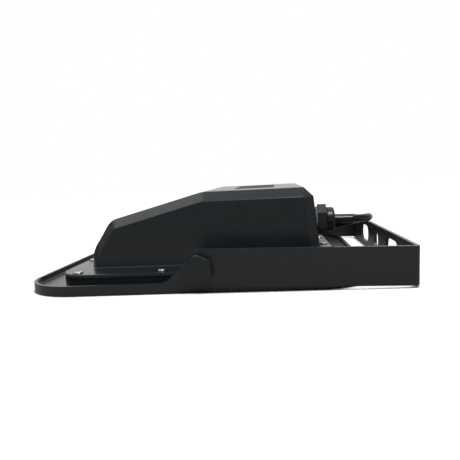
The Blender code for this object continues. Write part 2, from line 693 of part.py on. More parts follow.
def add_bosses(tray: bpy.types.Object) -> None:
    """Join the bosses for the LED board's screws and the posts of the control board."""
    sunk = PAD_TOP - PAD_SKIN / 2
    boss = cylinder_mesh("led_bosses", LED_BOSS_RADIUS, sunk, PAD_TOP + LED_BOSS_HEIGHT, SMALL_SEGMENTS)
    bosses = grouped_mesh("led_bosses", boss, at_places(led_screw_places()))
    combine(tray, add_cutter("led_bosses", bosses, Vector((PAD_X, 0, 0))), "UNION")
    post = cylinder_mesh("board_posts", POST_RADIUS, sunk, POST_TOP, SMALL_SEGMENTS)
    posts = grouped_mesh("board_posts", post, at_places(board_screw_places()))
    combine(tray, add_cutter("board_posts", posts, Vector((BOARD_X, 0, 0))), "UNION")


def cut_front(tray: bpy.types.Object) -> None:
    """Cut the glass recess and the room for the LED board into the tray's front."""
    recess_size = Vector((RECESS_LENGTH, RECESS_WIDTH, LEDGE_HEIGHT + OVERRUN))
    recess = block_mesh("glass_recess", recess_size, -OVERRUN, GLASS_CORNER_RADIUS)
    combine(tray, add_cutter("glass_recess", recess, Vector((PAD_X, 0, 0))), "DIFFERENCE")
    room_bottom = LEDGE_HEIGHT - OVERRUN
    room_size = Vector((ROOM_LENGTH, ROOM_WIDTH, PAD_UNDERSIDE - room_bottom))
    room = block_mesh("led_room", room_size, room_bottom, GLASS_CORNER_RADIUS)
    combine(tray, add_cutter("led_room", room, Vector((PAD_X, 0, 0))), "DIFFERENCE")


def cut_tray_holes(tray: bpy.types.Object) -> None:
    """Cut the blind screw holes and the hole for the LED wires."""
    cover_hole = cylinder_mesh("cover_screw_holes", COVER_SCREW_RADIUS + GAP, COVER_SCREW_END - GAP,
                               PAD_TOP + OVERRUN, SMALL_SEGMENTS)
    holes = grouped_mesh("cover_screw_holes", cover_hole, at_places(screw_places()))
    combine(tray, add_cutter("cover_screw_holes", holes, Vector((PAD_X, 0, 0))), "DIFFERENCE")
    led_top = PAD_TOP + LED_BOSS_HEIGHT - LED_SCREW_END_MARGIN + GAP
    led_hole = cylinder_mesh("led_screw_holes", M3_RADIUS + GAP, PAD_UNDERSIDE - OVERRUN, led_top, SMALL_SEGMENTS)
    led_holes = grouped_mesh("led_screw_holes", led_hole, at_places(led_screw_places()))
    combine(tray, add_cutter("led_screw_holes", led_holes, Vector((PAD_X, 0, 0))), "DIFFERENCE")
    post_hole = cylinder_mesh("post_holes", M3_RADIUS + GAP, PAD_TOP + POST_HOLE_FLOOR, POST_TOP + OVERRUN,
                              SMALL_SEGMENTS)
    post_holes = grouped_mesh("post_holes", post_hole, at_places(board_screw_places()))
    combine(tray, add_cutter("post_holes", post_holes, Vector((BOARD_X, 0, 0))), "DIFFERENCE")
    wire_hole = cylinder_mesh("wire_hole", WIRE_HOLE_RADIUS, PAD_UNDERSIDE - OVERRUN, PAD_TOP + OVERRUN,
                              SMALL_SEGMENTS)
    combine(tray, add_cutter("wire_hole", wire_hole, Vector((BOARD_X, WIRE_HOLE_Y, 0))), "DIFFERENCE")


def offset_line(first: Vector, last: Vector, inset: float) -> tuple:
    """A line of an outline that runs clockwise, moved inwards."""
    along = (last - first).normalized()
    inward = Vector((along.y, -along.x)) * inset
    return first + inward, last + inward


def crossing(one: tuple, two: tuple) -> Vector:
    """Where two lines in a plane meet."""
    first = one[1] - one[0]
    second = two[1] - two[0]
    between = two[0] - one[0]
    share = (between.x * second.y - between.y * second.x) / (first.x * second.y - first.y * second.x)
    return one[0] + first * share


def bump_chamfers(wall: float) -> list:
    """How wide the chamfer beside each side of the cover's outline is, on a surface a wall further in."""
    thinner = wall * (2 - math.sqrt(2))
    full = BUMP_CHAMFER - thinner
    return [BUMP_LEFT_CHAMFER - thinner, full, full, full, BUMP_CORNER_SHARE * full, full]


def bump_outline(insets: list, foot: float) -> list:
    """The battery cover seen from the side, each of its six sides moved inwards, with its feet at a height."""
    corners = [
        Vector((BUMP_LEFT, FLANGE_TOP)),
        Vector((BUMP_LEFT + BUMP_KNEE_SETBACK, BUMP_KNEE_Z)),
        Vector((BUMP_LEFT + BUMP_SHOULDER_SETBACK, BUMP_SHOULDER_Z)),
        Vector((BUMP_CREST_X, BUMP_TOP)),
        Vector((BUMP_TOP_RIGHT_X - BUMP_CHAMFER, BUMP_TOP)),
        Vector((BUMP_TOP_RIGHT_X, BUMP_TOP - BUMP_CHAMFER)),
        Vector((BUMP_RIGHT, FLANGE_TOP)),
    ]
    lines = [offset_line(first, last, inset) for first, last, inset in zip(corners, corners[1:], insets)]
    floor = (Vector((BUMP_LEFT, foot)), Vector((BUMP_RIGHT, foot)))
    left_foot = crossing(floor, lines[0])
    right_foot = crossing(lines[-1], floor)
    knee, shoulder, crest, top_end, right_end = (crossing(one, two) for one, two in zip(lines, lines[1:]))
    return [
        tuple(left_foot),
        *rounded_corner(left_foot, knee, shoulder, KNEE_RADIUS - insets[0] - insets[1]),
        *rounded_corner(knee, shoulder, crest, SHOULDER_RADIUS - insets[1]),
        *rounded_corner(shoulder, crest, top_end, CREST_RADIUS - insets[2]),
        tuple(top_end),
        tuple(right_end),
        tuple(right_foot),
    ]


def bump_mesh(name: str, wall: float, foot: float) -> bpy.types.Mesh:
    """The battery cover's body: a loft from its near side face, over the chamfers, to the far one."""
    half = BUMP_HALF_WIDTH - wall
    chamfers = bump_chamfers(wall)
    face = bump_outline([wall + chamfer for chamfer in chamfers], foot)
    body = bump_outline([wall] * len(chamfers), foot)
    knee = [chamfers[0] + (chamfers[1] - chamfers[0]) * step / ARC_SEGMENTS for step in range(ARC_SEGMENTS + 1)]
    depths = [chamfers[0], *knee, *[chamfers[1]] * (len(body) - len(knee) - 1)]
    sections = [
        [(x, drafted(-half, z), z) for x, z in face],
        [(x, drafted(depth - half, z), z) for (x, z), depth in zip(body, depths)],
        [(x, drafted(half - depth, z), z) for (x, z), depth in zip(body, depths)],
        [(x, drafted(half, z), z) for x, z in face],
    ]
    work = bmesh.new()
    rings = [[work.verts.new(point) for point in section] for section in sections]
    for ring, after in zip(rings, rings[1:]):
        for index in range(len(ring)):
            work.faces.new((ring[index - 1], ring[index], after[index], after[index - 1]))
    work.faces.new(rings[0])
    work.faces.new(rings[-1])
    bmesh.ops.recalc_face_normals(work, faces=work.faces)
    if not wall:
        crisp = {vert for ring in rings for vert in ring[:len(knee)]}
        bmesh.ops.bevel(work, geom=soft_edges(work, foot, crisp), offset=BUMP_SOFT_EDGE, segments=EDGE_SEGMENTS,
                        affect="EDGES", profile=0.5)
        bmesh.ops.recalc_face_normals(work, faces=work.faces)
    return finished_mesh(work, name, smooth=True)


def drafted(across: float, height: float) -> float:
    """A place across the cover, drawn towards its middle by the sides' draft."""
    return across - math.copysign(BUMP_SIDE_DRAFT * (height - FLANGE_TOP), across)


def soft_edges(work: bmesh.types.BMesh, foot: float, crisp: set) -> list:
    """The edges of the chamfers that the casting leaves slightly round, apart from those at the crisp knee."""
    return [edge for edge in work.edges
            if len(edge.link_faces) == 2 and edge.calc_face_angle() > EDGE_ANGLE
            and max(vert.co.z for vert in edge.verts) > foot + GAP and not crisp.intersection(edge.verts)]


def make_cover() -> bpy.types.Object:
    """The battery cover with its flange, gland boss, label place and screw holes."""
    flange_size = Vector((PAD_LENGTH, PAD_WIDTH, FLANGE_THICKNESS))
    cover = add_part("battery_cover",
                     block_mesh("battery_cover", flange_size, FLANGE_BOTTOM, PAD_CORNER_RADIUS, FLANGE_EDGE),
                     Vector((PAD_X, 0, 0)), CAST_BLACK)
    left = Vector((TRAY_LEFT_X, 0, 0))
    foot = FLANGE_BOTTOM + FLANGE_THICKNESS / 2
    combine(cover, add_cutter("bump_outside", bump_mesh("bump_outside", 0, foot), left), "UNION")
    inside_foot = FLANGE_BOTTOM - OVERRUN
    combine(cover, add_cutter("bump_inside", bump_mesh("bump_inside", COVER_WALL, inside_foot), left), "DIFFERENCE")
    along_x = Matrix.Rotation(math.pi / 2, 4, "Y")
    gland_place = Vector((GLAND_SEAT_X, GLAND_Y, GLAND_Z))
    boss = moved_mesh(cylinder_mesh("gland_boss", GLAND_BOSS_RADIUS, -GLAND_BOSS_THICKNESS, -GAP), along_x)
    combine(cover, add_cutter("gland_boss", boss, gland_place), "UNION")
    seat_radius = GLAND_WASHER_RADIUS + 2 * GAP
    seat = moved_mesh(cylinder_mesh("gland_seat", seat_radius, 0, BUMP_END_LEAN + OVERRUN), along_x)
    combine(cover, add_cutter("gland_seat", seat, gland_place), "DIFFERENCE")
    hole_start = -GLAND_BOSS_THICKNESS - OVERRUN
    hole = moved_mesh(cylinder_mesh("gland_hole", GLAND_THREAD_RADIUS + GAP, hole_start, OVERRUN), along_x)
    combine(cover, add_cutter("gland_hole", hole, gland_place), "DIFFERENCE")
    label_size = Vector((LABEL_LENGTH, LABEL_WIDTH, LABEL_DEPTH + OVERRUN))
    label = block_mesh("label_recess", label_size, BUMP_TOP - LABEL_DEPTH, LABEL_CORNER_RADIUS)
    combine(cover, add_cutter("label_recess", label, Vector((TRAY_LEFT_X + LABEL_FROM_LEFT, 0, 0))), "DIFFERENCE")
    cut_screw_seats(cover)
    return cover


def cut_screw_seats(cover: bpy.types.Object) -> None:
    """Cut the flange's screw holes and the counterbores that take the screws' heads."""
    seat = FLANGE_TOP - COUNTERBORE_DEPTH
    for name, radius, bottom in (("flange_holes", COVER_SCREW_RADIUS + GAP, FLANGE_BOTTOM - OVERRUN),
                                 ("counterbores", COUNTERBORE_RADIUS, seat)):
        cut = cylinder_mesh(name, radius, bottom, FLANGE_TOP + OVERRUN, SMALL_SEGMENTS)
        cuts = grouped_mesh(name, cut, at_places(screw_places()))
        combine(cover, add_cutter(name, cuts, Vector((PAD_X, 0, 0))), "DIFFERENCE")


def make_gasket() -> bpy.types.Object:
    """The sealing frame between the pad and the cover's flange."""
    bottom = PAD_TOP + GAP
    gasket = add_part("cover_gasket",
                      block_mesh("cover_gasket", Vector((PAD_LENGTH, PAD_WIDTH, GASKET_THICKNESS)), bottom,
                                 PAD_CORNER_RADIUS),
                      Vector((PAD_X, 0, 0)), RUBBER_BLACK)
    window_size = Vector((PAD_LENGTH - 2 * GASKET_WIDTH, PAD_WIDTH - 2 * GASKET_WIDTH,
                          GASKET_THICKNESS + 2 * OVERRUN))
    window = block_mesh("gasket_window", window_size, bottom - OVERRUN, PAD_CORNER_RADIUS)
    combine(gasket, add_cutter("gasket_window", window, Vector((PAD_X, 0, 0))), "DIFFERENCE")
    hole = cylinder_mesh("gasket_holes", COVER_SCREW_RADIUS + GAP, bottom - OVERRUN,
                         bottom + GASKET_THICKNESS + OVERRUN, SMALL_SEGMENTS)
    holes = grouped_mesh("gasket_holes", hole, at_places(screw_places()))
    combine(gasket, add_cutter("gasket_holes", holes, Vector((PAD_X, 0, 0))), "DIFFERENCE")
    return gasket


def screw_mesh(name: str, radius: float, shank_end: float, head_radius: float, head_start: float,
               head_end: float, edge: float) -> bpy.types.Mesh:
    """A screw along Z: a round head from head_start to head_end and a plain shank."""
    shank = cylinder_mesh("shank", radius, shank_end, head_start + (head_end - head_start) / 2, SMALL_SEGMENTS)
    head = cylinder_mesh("head", head_radius, head_start, head_end, SMALL_SEGMENTS, edge)
    return joined_mesh(name, head, shank)


def joined_mesh(name: str, first: bpy.types.Mesh, second: bpy.types.Mesh,
                operation: str = "UNION") -> bpy.types.Mesh:
    """Two overlapping solids made one, or one cut by the other."""
    piece = bpy.data.objects.new(name, first)
    other = bpy.data.objects.new(name + "_other", second)
    for item in (piece, other):
        bpy.context.scene.collection.objects.link(item)
    combine(piece, other, operation)
    mesh = baked_mesh(piece, name)
    bpy.data.objects.remove(other)
    return mesh


def make_cover_screws() -> None:
    """The pan-head screws round the cover's flange."""
    head_start = FLANGE_TOP - COUNTERBORE_DEPTH + GAP
    screw = screw_mesh("cover_screw", COVER_SCREW_RADIUS, COVER_SCREW_END, COVER_SCREW_HEAD_RADIUS, head_start,
                       head_start + COVER_SCREW_HEAD_HEIGHT, COVER_SCREW_HEAD_EDGE)
    places = at_places(screw_places(), PAD_X)
    add_copies(numbered("cover_screw", len(places)), screw, places, SCREW_STEEL)


def make_label() -> bpy.types.Object:
    """The bare plate in the label place."""
    size = Vector((LABEL_LENGTH - 2 * GAP, LABEL_WIDTH - 2 * GAP, LABEL_THICKNESS))
    mesh = block_mesh("label_plate", size, BUMP_TOP - LABEL_DEPTH + GAP, LABEL_CORNER_RADIUS)
    return add_part("label_plate", mesh, Vector((TRAY_LEFT_X + LABEL_FROM_LEFT, 0, 0)), LABEL_BLACK)


def make_front() -> None:
    """The glass, its seal, and the LED board with its screws."""
    middle = Vector((PAD_X, 0, 0))
    glass_size = Vector((RECESS_LENGTH - 2 * GAP, RECESS_WIDTH - 2 * GAP, GLASS_THICKNESS))
    add_part("front_glass", block_mesh("front_glass", glass_size, GLASS_RECESS, GLASS_CORNER_RADIUS - GAP), middle,
             CLEAR_GLASS)
    seal_size = Vector((RECESS_LENGTH - 2 * GAP, RECESS_WIDTH - 2 * GAP, SEAL_THICKNESS))
    seal_bottom = GLASS_TOP + GAP
    seal = add_part("glass_seal", block_mesh("glass_seal", seal_size, seal_bottom, GLASS_CORNER_RADIUS - GAP),
                    middle, SILICONE_GREY)
    window_size = Vector((ROOM_LENGTH, ROOM_WIDTH, SEAL_THICKNESS + 2 * OVERRUN))
    window = block_mesh("seal_window", window_size, seal_bottom - OVERRUN, GLASS_CORNER_RADIUS)
    combine(seal, add_cutter("seal_window", window, middle), "DIFFERENCE")
    board_size = Vector((LED_BOARD_LENGTH, LED_BOARD_WIDTH, LED_BOARD_THICKNESS))
    board = add_part("led_board", block_mesh("led_board", board_size, LED_BOARD_BOTTOM, GLASS_CORNER_RADIUS),
                     middle, BOARD_WHITE)
    hole = cylinder_mesh("led_board_holes", M3_RADIUS + GAP, LED_BOARD_BOTTOM - OVERRUN,
                         PAD_UNDERSIDE + OVERRUN, SMALL_SEGMENTS)
    holes = grouped_mesh("led_board_holes", hole, at_places(led_screw_places()))
    combine(board, add_cutter("led_board_holes", holes, middle), "DIFFERENCE")
    combine(board, add_cutter("led_chips", led_chips_mesh(), middle), "UNION")
    head_top = LED_BOARD_BOTTOM - GAP
    shank_end = PAD_TOP + LED_BOSS_HEIGHT - LED_SCREW_END_MARGIN
    screw = screw_mesh("led_screw", M3_RADIUS, -shank_end, M3_HEAD_RADIUS, -head_top,
                       LED_SCREW_HEAD_HEIGHT - head_top, 0)
    screw.transform(Matrix.Rotation(math.pi, 4, "X"))
    places = at_places(led_screw_places(), PAD_X)
    add_copies(numbered("led_board_screw", len(places)), screw, places, SCREW_STEEL)


def led_chips_mesh() -> bpy.types.Mesh:
    """The LED chips in even rows, soldered to the board's underside."""
    size = Vector((LED_CHIP_SIZE, LED_CHIP_SIZE, LED_CHIP_HEIGHT + LED_BOARD_THICKNESS / 2))
    chip = block_mesh("led_chip", size, LED_BOARD_BOTTOM - LED_CHIP_HEIGHT)
    places = [((column - (LED_COLUMNS - 1) / 2) * LED_PITCH_X, (row - (LED_ROWS - 1) / 2) * LED_PITCH_Y)
              for column in range(LED_COLUMNS) for row in range(LED_ROWS)]
    return grouped_mesh("led_chips", chip, at_places(places))


def yoke_outline() -> list:
    """The bent strip seen from above, about the pivot: two arms and a crossbar."""
    half = YOKE_OUTER_WIDTH / 2
    inner_half = half - STRIP_THICKNESS
    inner_reach = YOKE_REACH - STRIP_THICKNESS
    inner_radius = YOKE_BEND_RADIUS - STRIP_THICKNESS
    quarter = math.pi / 2
    outer_x = YOKE_REACH - YOKE_BEND_RADIUS
    outer_y = half - YOKE_BEND_RADIUS
    inner_x = inner_reach - inner_radius
    inner_y = inner_half - inner_radius
    return [
        (-ARM_TAIL, -half),
        *arc((outer_x, -outer_y), YOKE_BEND_RADIUS, -quarter, 0),
        *arc((outer_x, outer_y), YOKE_BEND_RADIUS, 0, quarter),
        (-ARM_TAIL, half),
        (-ARM_TAIL, inner_half),
        *arc((inner_x, inner_y), inner_radius, quarter, 0),
        *arc((inner_x, -inner_y), inner_radius, 0, -quarter),
        (-ARM_TAIL, -inner_half),
    ]


def slot_outline() -> list:
    """A slot with round ends, long across the crossbar."""
    end = SLOT_HEIGHT / 2
    straight = SLOT_LENGTH / 2 - end
    quarter = math.pi / 2
    return [*arc((straight, 0), end, -quarter, quarter), *arc((-straight, 0), end, quarter, 3 * quarter)]


def make_yoke() -> bpy.types.Object:
    """The folding yoke. Its origin is on the pivot axis, and it hangs a little below level."""
    mesh = plate_mesh("yoke", yoke_outline(), STRIP_HEIGHT)
    work = bmesh.new()
    work.from_mesh(mesh)
    bmesh.ops.dissolve_limit(work, angle_limit=FLAT_ANGLE, verts=work.verts, edges=work.edges)
    ends = [edge for edge in work.edges
            if all(vert.co.x < -ARM_TAIL + WELD_DISTANCE for vert in edge.verts)
            and abs(edge.verts[0].co.z - edge.verts[1].co.z) < WELD_DISTANCE]
    bmesh.ops.bevel(work, geom=ends, offset=ARM_END_RADIUS, segments=ARC_SEGMENTS, affect="EDGES", profile=0.5)
    yoke = add_part("yoke", finished_mesh(work, "yoke", smooth=True), Vector((PIVOT_X, 0, PIVOT_HEIGHT)), STEEL_BLACK)
    yoke.rotation_euler = (0, YOKE_TILT, 0)
    bore_length = YOKE_OUTER_WIDTH / 2 + OVERRUN
    bore = cylinder_mesh("arm_bores", BOLT_RADIUS + GAP, TRAY_WIDTH / 2, bore_length)
    sides = [Matrix.Rotation(math.pi / 2, 4, "X"), Matrix.Rotation(-math.pi / 2, 4, "X")]
    cutters = [add_cutter("arm_bores", grouped_mesh("arm_bores", bore, sides), Vector()), *crossbar_cutters()]
    for cutter in cutters:
        cutter.parent = yoke
        combine(yoke, cutter, "DIFFERENCE")
    return yoke


def crossbar_cutters() -> list:
    """The crossbar's two slots and its centre hole, in the yoke's own frame."""
    depth = STRIP_THICKNESS + 2 * OVERRUN
    facing_x = Matrix.Rotation(math.pi / 2, 4, "Z") @ Matrix.Rotation(math.pi / 2, 4, "X")
    middle_x = YOKE_REACH - STRIP_THICKNESS / 2
    slot = moved_mesh(plate_mesh("crossbar_slots", slot_outline(), depth), facing_x)
    places = [Matrix.Translation((middle_x, SLOT_OFFSET * side, 0)) for side in (1, -1)]
    slots = add_cutter("crossbar_slots", grouped_mesh("crossbar_slots", slot, places), Vector())
    hole = cylinder_mesh("crossbar_hole", CENTRE_HOLE_RADIUS, -depth / 2, depth / 2)
    hole.transform(Matrix.Rotation(math.pi / 2, 4, "Y"))
    return [slots, add_cutter("crossbar_hole", hole, Vector((middle_x, 0, 0)))]


def add_both_sides(name: str, mesh: bpy.types.Mesh, finish: bpy.types.Material) -> None:
    """Add a piece made along Z on the pivot axis at both sides, its +Z outwards."""
    pivot = Matrix.Translation((PIVOT_X, 0, PIVOT_HEIGHT))
    near = Matrix.Rotation(math.pi / 2, 4, "X")
    far = Matrix.Rotation(math.pi, 4, "Z") @ near
    add_copies([name + "_near", name + "_far"], mesh, [pivot @ near, pivot @ far], finish)


def make_pivots() -> None:
    """The pivot bolts, friction discs, spring washers and nuts, all on the pivot axis."""
    ear_outer = TRAY_WIDTH / 2
    ear_inner = ear_outer - EAR_INSET - EAR_THICKNESS
    washer_start = ear_inner - GAP - SPRING_WASHER_THICKNESS
    nut_start = washer_start - GAP - NUT_HEIGHT
    head_start = YOKE_OUTER_WIDTH / 2 + GAP
    head = hexagon_mesh("head", BOLT_FLATS, head_start, head_start + BOLT_HEAD_HEIGHT, BOLT_HEAD_EDGE)
    head.transform(Matrix.Rotation(BOLT_TURN, 4, "Z"))
    shank = cylinder_mesh("shank", BOLT_RADIUS, nut_start - BOLT_END_PROUD, head_start + BOLT_HEAD_HEIGHT / 2)
    bolt = joined_mesh("pivot_bolt", head, shank)
    add_both_sides("pivot_bolt", bolt, STEEL_BLACK)
    hole = BOLT_RADIUS + GAP
    disc = tube_mesh("disc", EAR_RADIUS, hole, ear_outer + GAP, ear_outer + ARM_GAP - GAP)
    add_both_sides("friction_disc", disc, NYLON_BLACK)
    washer = tube_mesh("washer", SPRING_WASHER_RADIUS, hole, washer_start, ear_inner - GAP)
    add_both_sides("spring_washer", washer, SCREW_STEEL)
    body = hexagon_mesh("body", BOLT_FLATS, nut_start, nut_start + NUT_HEIGHT)
    bore = cylinder_mesh("bore", hole, nut_start - OVERRUN, nut_start + NUT_HEIGHT + OVERRUN)
    nut = joined_mesh("pivot_nut", body, bore, "DIFFERENCE")
    add_both_sides("pivot_nut", nut, SCREW_STEEL)


def make_gland() -> None:
    """The cable gland: washer, body, locknut, bush and dome nut, along X from the cover's seat."""
    along_x = Matrix.Rotation(math.pi / 2, 4, "Y")
    place = Vector((GLAND_SEAT_X, GLAND_Y, GLAND_Z))
    bore = LEAD_RADIUS + GAP
    thread_bore = GLAND_THREAD_RADIUS + GAP
    washer = tube_mesh("gland_washer", GLAND_WASHER_RADIUS, thread_bore, GAP, GAP + GLAND_WASHER_THICKNESS)
    add_part("gland_washer", moved_mesh(washer, along_x), place, SEAL_BLUE)
    add_part("gland_body", moved_mesh(gland_body_mesh(), along_x), place, NYLON_BLACK)
    locknut_end = -GLAND_BOSS_THICKNESS - GAP
    locknut_start = locknut_end - LOCKNUT_HEIGHT
    nut = hexagon_mesh("nut", LOCKNUT_FLATS, locknut_start, locknut_end)
    nut.transform(Matrix.Rotation(math.pi / 2, 4, "Z"))
    nut_bore = cylinder_mesh("nut_bore", thread_bore, locknut_start - OVERRUN, locknut_end + OVERRUN)
    add_part("gland_locknut", moved_mesh(joined_mesh("gland_locknut", nut, nut_bore, "DIFFERENCE"), along_x), place,
             NYLON_BLACK)
    bush_start = GLAND_HEX_START + GLAND_HEX_LENGTH + GLAND_BUSH_SEAT
    bush = tube_mesh("gland_bush", bore + GLAND_BUSH_WALL, bore, bush_start, bush_start + GLAND_BUSH_LENGTH)
    add_part("gland_bush", moved_mesh(bush, along_x), place, RUBBER_BLACK)
    add_part("gland_dome_nut", moved_mesh(dome_nut_mesh(), along_x), place, NYLON_BLACK)


def gland_body_mesh() -> bpy.types.Mesh:
    """The gland's hexagon with its thread inwards, its neck outwards and its bore."""
    hex_end = GLAND_HEX_START + GLAND_HEX_LENGTH
    thread_start = -GLAND_BOSS_THICKNESS - GAP - LOCKNUT_HEIGHT - GLAND_THREAD_PROUD
    hexagon = hexagon_mesh("hexagon", GLAND_FLATS, GLAND_HEX_START, hex_end)
    hexagon.transform(Matrix.Rotation(math.pi / 2, 4, "Z"))
    middle = (GLAND_HEX_START + hex_end) / 2
    thread = cylinder_mesh("thread", GLAND_THREAD_RADIUS, thread_start, middle)
    neck = cylinder_mesh("neck", GLAND_NECK_RADIUS, middle - OVERRUN, hex_end + GLAND_NECK_LENGTH)
    body = joined_mesh("gland_body", joined_mesh("gland_body", hexagon, thread), neck)
    bore = cylinder_mesh("bore", LEAD_RADIUS + 2 * GAP, thread_start - OVERRUN,
                         hex_end + GLAND_NECK_LENGTH + OVERRUN)
    bush_radius = LEAD_RADIUS + GAP + GLAND_BUSH_WALL + GAP
    seat = cylinder_mesh("seat", bush_radius, hex_end + GLAND_BUSH_SEAT - GAP,
                         hex_end + GLAND_NECK_LENGTH + OVERRUN)
    bored = joined_mesh("gland_body", body, bore, "DIFFERENCE")
    return joined_mesh("gland_body", bored, seat, "DIFFERENCE")


def dome_nut_mesh() -> bpy.types.Mesh:
    """The round clamping nut, open towards the gland's hexagon."""
    inner = GLAND_NECK_RADIUS + GAP
    bore = LEAD_RADIUS + GAP
    inside_end = DOME_END - DOME_END_WALL
    round_end = arc((DOME_RADIUS - DOME_ROUND, DOME_END - DOME_ROUND), DOME_ROUND, math.pi / 2, 0)
    profile = [(bore, DOME_END), *round_end, (DOME_RADIUS, DOME_START), (inner, DOME_START), (inner, inside_end),
               (bore, inside_end)]
    return turned_mesh("gland_dome_nut", profile)


def lead_points() -> list:
    """The lead's centre line from just outside the gland to just behind its connector."""
    start = (GLAND_SEAT_X + DOME_END + GAP, GLAND_Y, GLAND_Z)
    end = (PLUG_START_X + GAP, PLUG_Y, PLUG_Z)
    route = [(TRAY_LEFT_X + along, across, up) for along, across, up in LEAD_ROUTE]
    return smooth_route([start, *route, end], LEAD_POINT_SPACING)


def make_lead() -> bpy.types.Object:
    """The free part of the lead."""
    return add_part("lead_cord", cable_mesh("lead_cord", lead_points(), LEAD_RADIUS), Vector(), LEAD_BLACK)


def make_connector() -> None:
    """The waterproof connector: body with strain relief, collar and pin insert, pointing to -X."""
    along = Matrix.Rotation(-math.pi / 2, 4, "Y")
    place = Vector((PLUG_START_X, PLUG_Y, PLUG_Z))
    body_start = PLUG_RELIEF_LENGTH
    body_end = body_start + PLUG_LENGTH
    nose_end = body_end + PLUG_NOSE_LENGTH
    socket_floor = nose_end - PLUG_SOCKET_DEPTH
    profile = [
        (PLUG_NOSE_RADIUS, nose_end), (PLUG_NOSE_RADIUS, body_end), (PLUG_RADIUS, body_end),
        (PLUG_RADIUS, body_start), (PLUG_RELIEF_END_RADIUS, 0), (0, 0), (0, socket_floor),
        (PLUG_NOSE_RADIUS - PLUG_SHELL, socket_floor), (PLUG_NOSE_RADIUS - PLUG_SHELL, nose_end),
    ]
    add_part("plug_body", moved_mesh(turned_mesh("plug_body", profile), along), place, RUBBER_BLACK)
    collar_start = body_end + GAP
    collar = tube_mesh("collar", COLLAR_RADIUS, COLLAR_RADIUS - COLLAR_WALL, collar_start,
                       collar_start + COLLAR_LENGTH)
    notch = cylinder_mesh("notch", COLLAR_NOTCH_RADIUS, collar_start - OVERRUN,
                          collar_start + COLLAR_LENGTH + OVERRUN, TINY_SEGMENTS)
    turns = [Matrix.Rotation(2 * math.pi * step / COLLAR_NOTCHES, 4, "Z") @ Matrix.Translation((COLLAR_RADIUS, 0, 0))
             for step in range(COLLAR_NOTCHES)]
    notched = joined_mesh("plug_collar", collar, grouped_mesh("notches", notch, turns), "DIFFERENCE")
    add_part("plug_collar", moved_mesh(notched, along), place, NYLON_BLACK)
    pin_start = socket_floor + GAP
    disc_end = pin_start + PIN_DISC_THICKNESS
    disc = cylinder_mesh("disc", PLUG_NOSE_RADIUS - PLUG_SHELL - GAP, pin_start, disc_end)
    pin = cylinder_mesh("pin", PIN_RADIUS, pin_start + PIN_DISC_THICKNESS / 2, disc_end + PIN_LENGTH,
                        TINY_SEGMENTS)
    pins = grouped_mesh("pins", pin, [Matrix.Translation((0, PIN_SPACING / 2 * side, 0)) for side in (1, -1)])
    add_part("plug_insert", moved_mesh(joined_mesh("plug_insert", disc, pins), along), place, BRASS)


def make_battery() -> None:
    """The battery cells in their cradle, held down by one wide strap."""
    pack_length = CELL_COLUMNS * CELL_PITCH
    groove_length = 2 * CELL_LENGTH + CELL_SPACE + 2 * GAP
    cradle_width = groove_length + 2 * CRADLE_END_WALL
    cradle_length = pack_length + 2 * CRADLE_MARGIN
    bottom = PAD_TOP + GAP
    place = Vector((BATTERY_X, 0, 0))
    cradle = add_part("battery_cradle",
                      block_mesh("battery_cradle", Vector((cradle_length, cradle_width, CRADLE_HEIGHT)), bottom),
                      place, CRADLE_BLACK)
    columns = [(column - (CELL_COLUMNS - 1) / 2) * CELL_PITCH for column in range(CELL_COLUMNS)]
    lying = Matrix.Rotation(math.pi / 2, 4, "X")
    groove = cylinder_mesh("groove", CELL_RADIUS + GAP, -groove_length / 2, groove_length / 2)
    grooves = grouped_mesh("cradle_grooves", groove, [Matrix.Translation((x, 0, CELL_Z)) @ lying for x in columns])
    combine(cradle, add_cutter("cradle_grooves", grooves, place), "DIFFERENCE")
    cell = cylinder_mesh("cell", CELL_RADIUS, -CELL_LENGTH / 2, CELL_LENGTH / 2)
    cell_y = (CELL_LENGTH + CELL_SPACE) / 2
    spots = [Matrix.Translation((BATTERY_X + x, cell_y * side, CELL_Z)) @ lying for x in columns for side in (1, -1)]
    add_copies(numbered("battery_cell", len(spots)), cell, spots, CELL_BLUE)
    strap = strap_mesh(cradle_length / 2 + GAP, bottom, CELL_Z + CELL_RADIUS + GAP)
    add_part("battery_strap", strap, place, SCREW_STEEL)


def strap_mesh(half: float, bottom: float, top: float) -> bpy.types.Mesh:
    """One strap over the cells: an upside-down U of thin sheet."""
    outer_half = half + STRAP_THICKNESS
    outer_top = top + STRAP_THICKNESS
    outer_radius = STRAP_CORNER_RADIUS + STRAP_THICKNESS
    quarter = math.pi / 2
    side = outer_half - outer_radius
    outer = [
        (outer_half, bottom), *arc((side, outer_top - outer_radius), outer_radius, 0, quarter),
        *arc((-side, outer_top - outer_radius), outer_radius, quarter, 2 * quarter), (-outer_half, bottom),
    ]
    inner = [
        (-half, bottom), *arc((-side, outer_top - outer_radius), STRAP_CORNER_RADIUS, 2 * quarter, quarter),
        *arc((side, outer_top - outer_radius), STRAP_CORNER_RADIUS, quarter, 0), (half, bottom),
    ]
    return moved_mesh(plate_mesh("battery_strap", outer + inner, STRAP_WIDTH), Matrix.Rotation(math.pi / 2, 4, "X"))


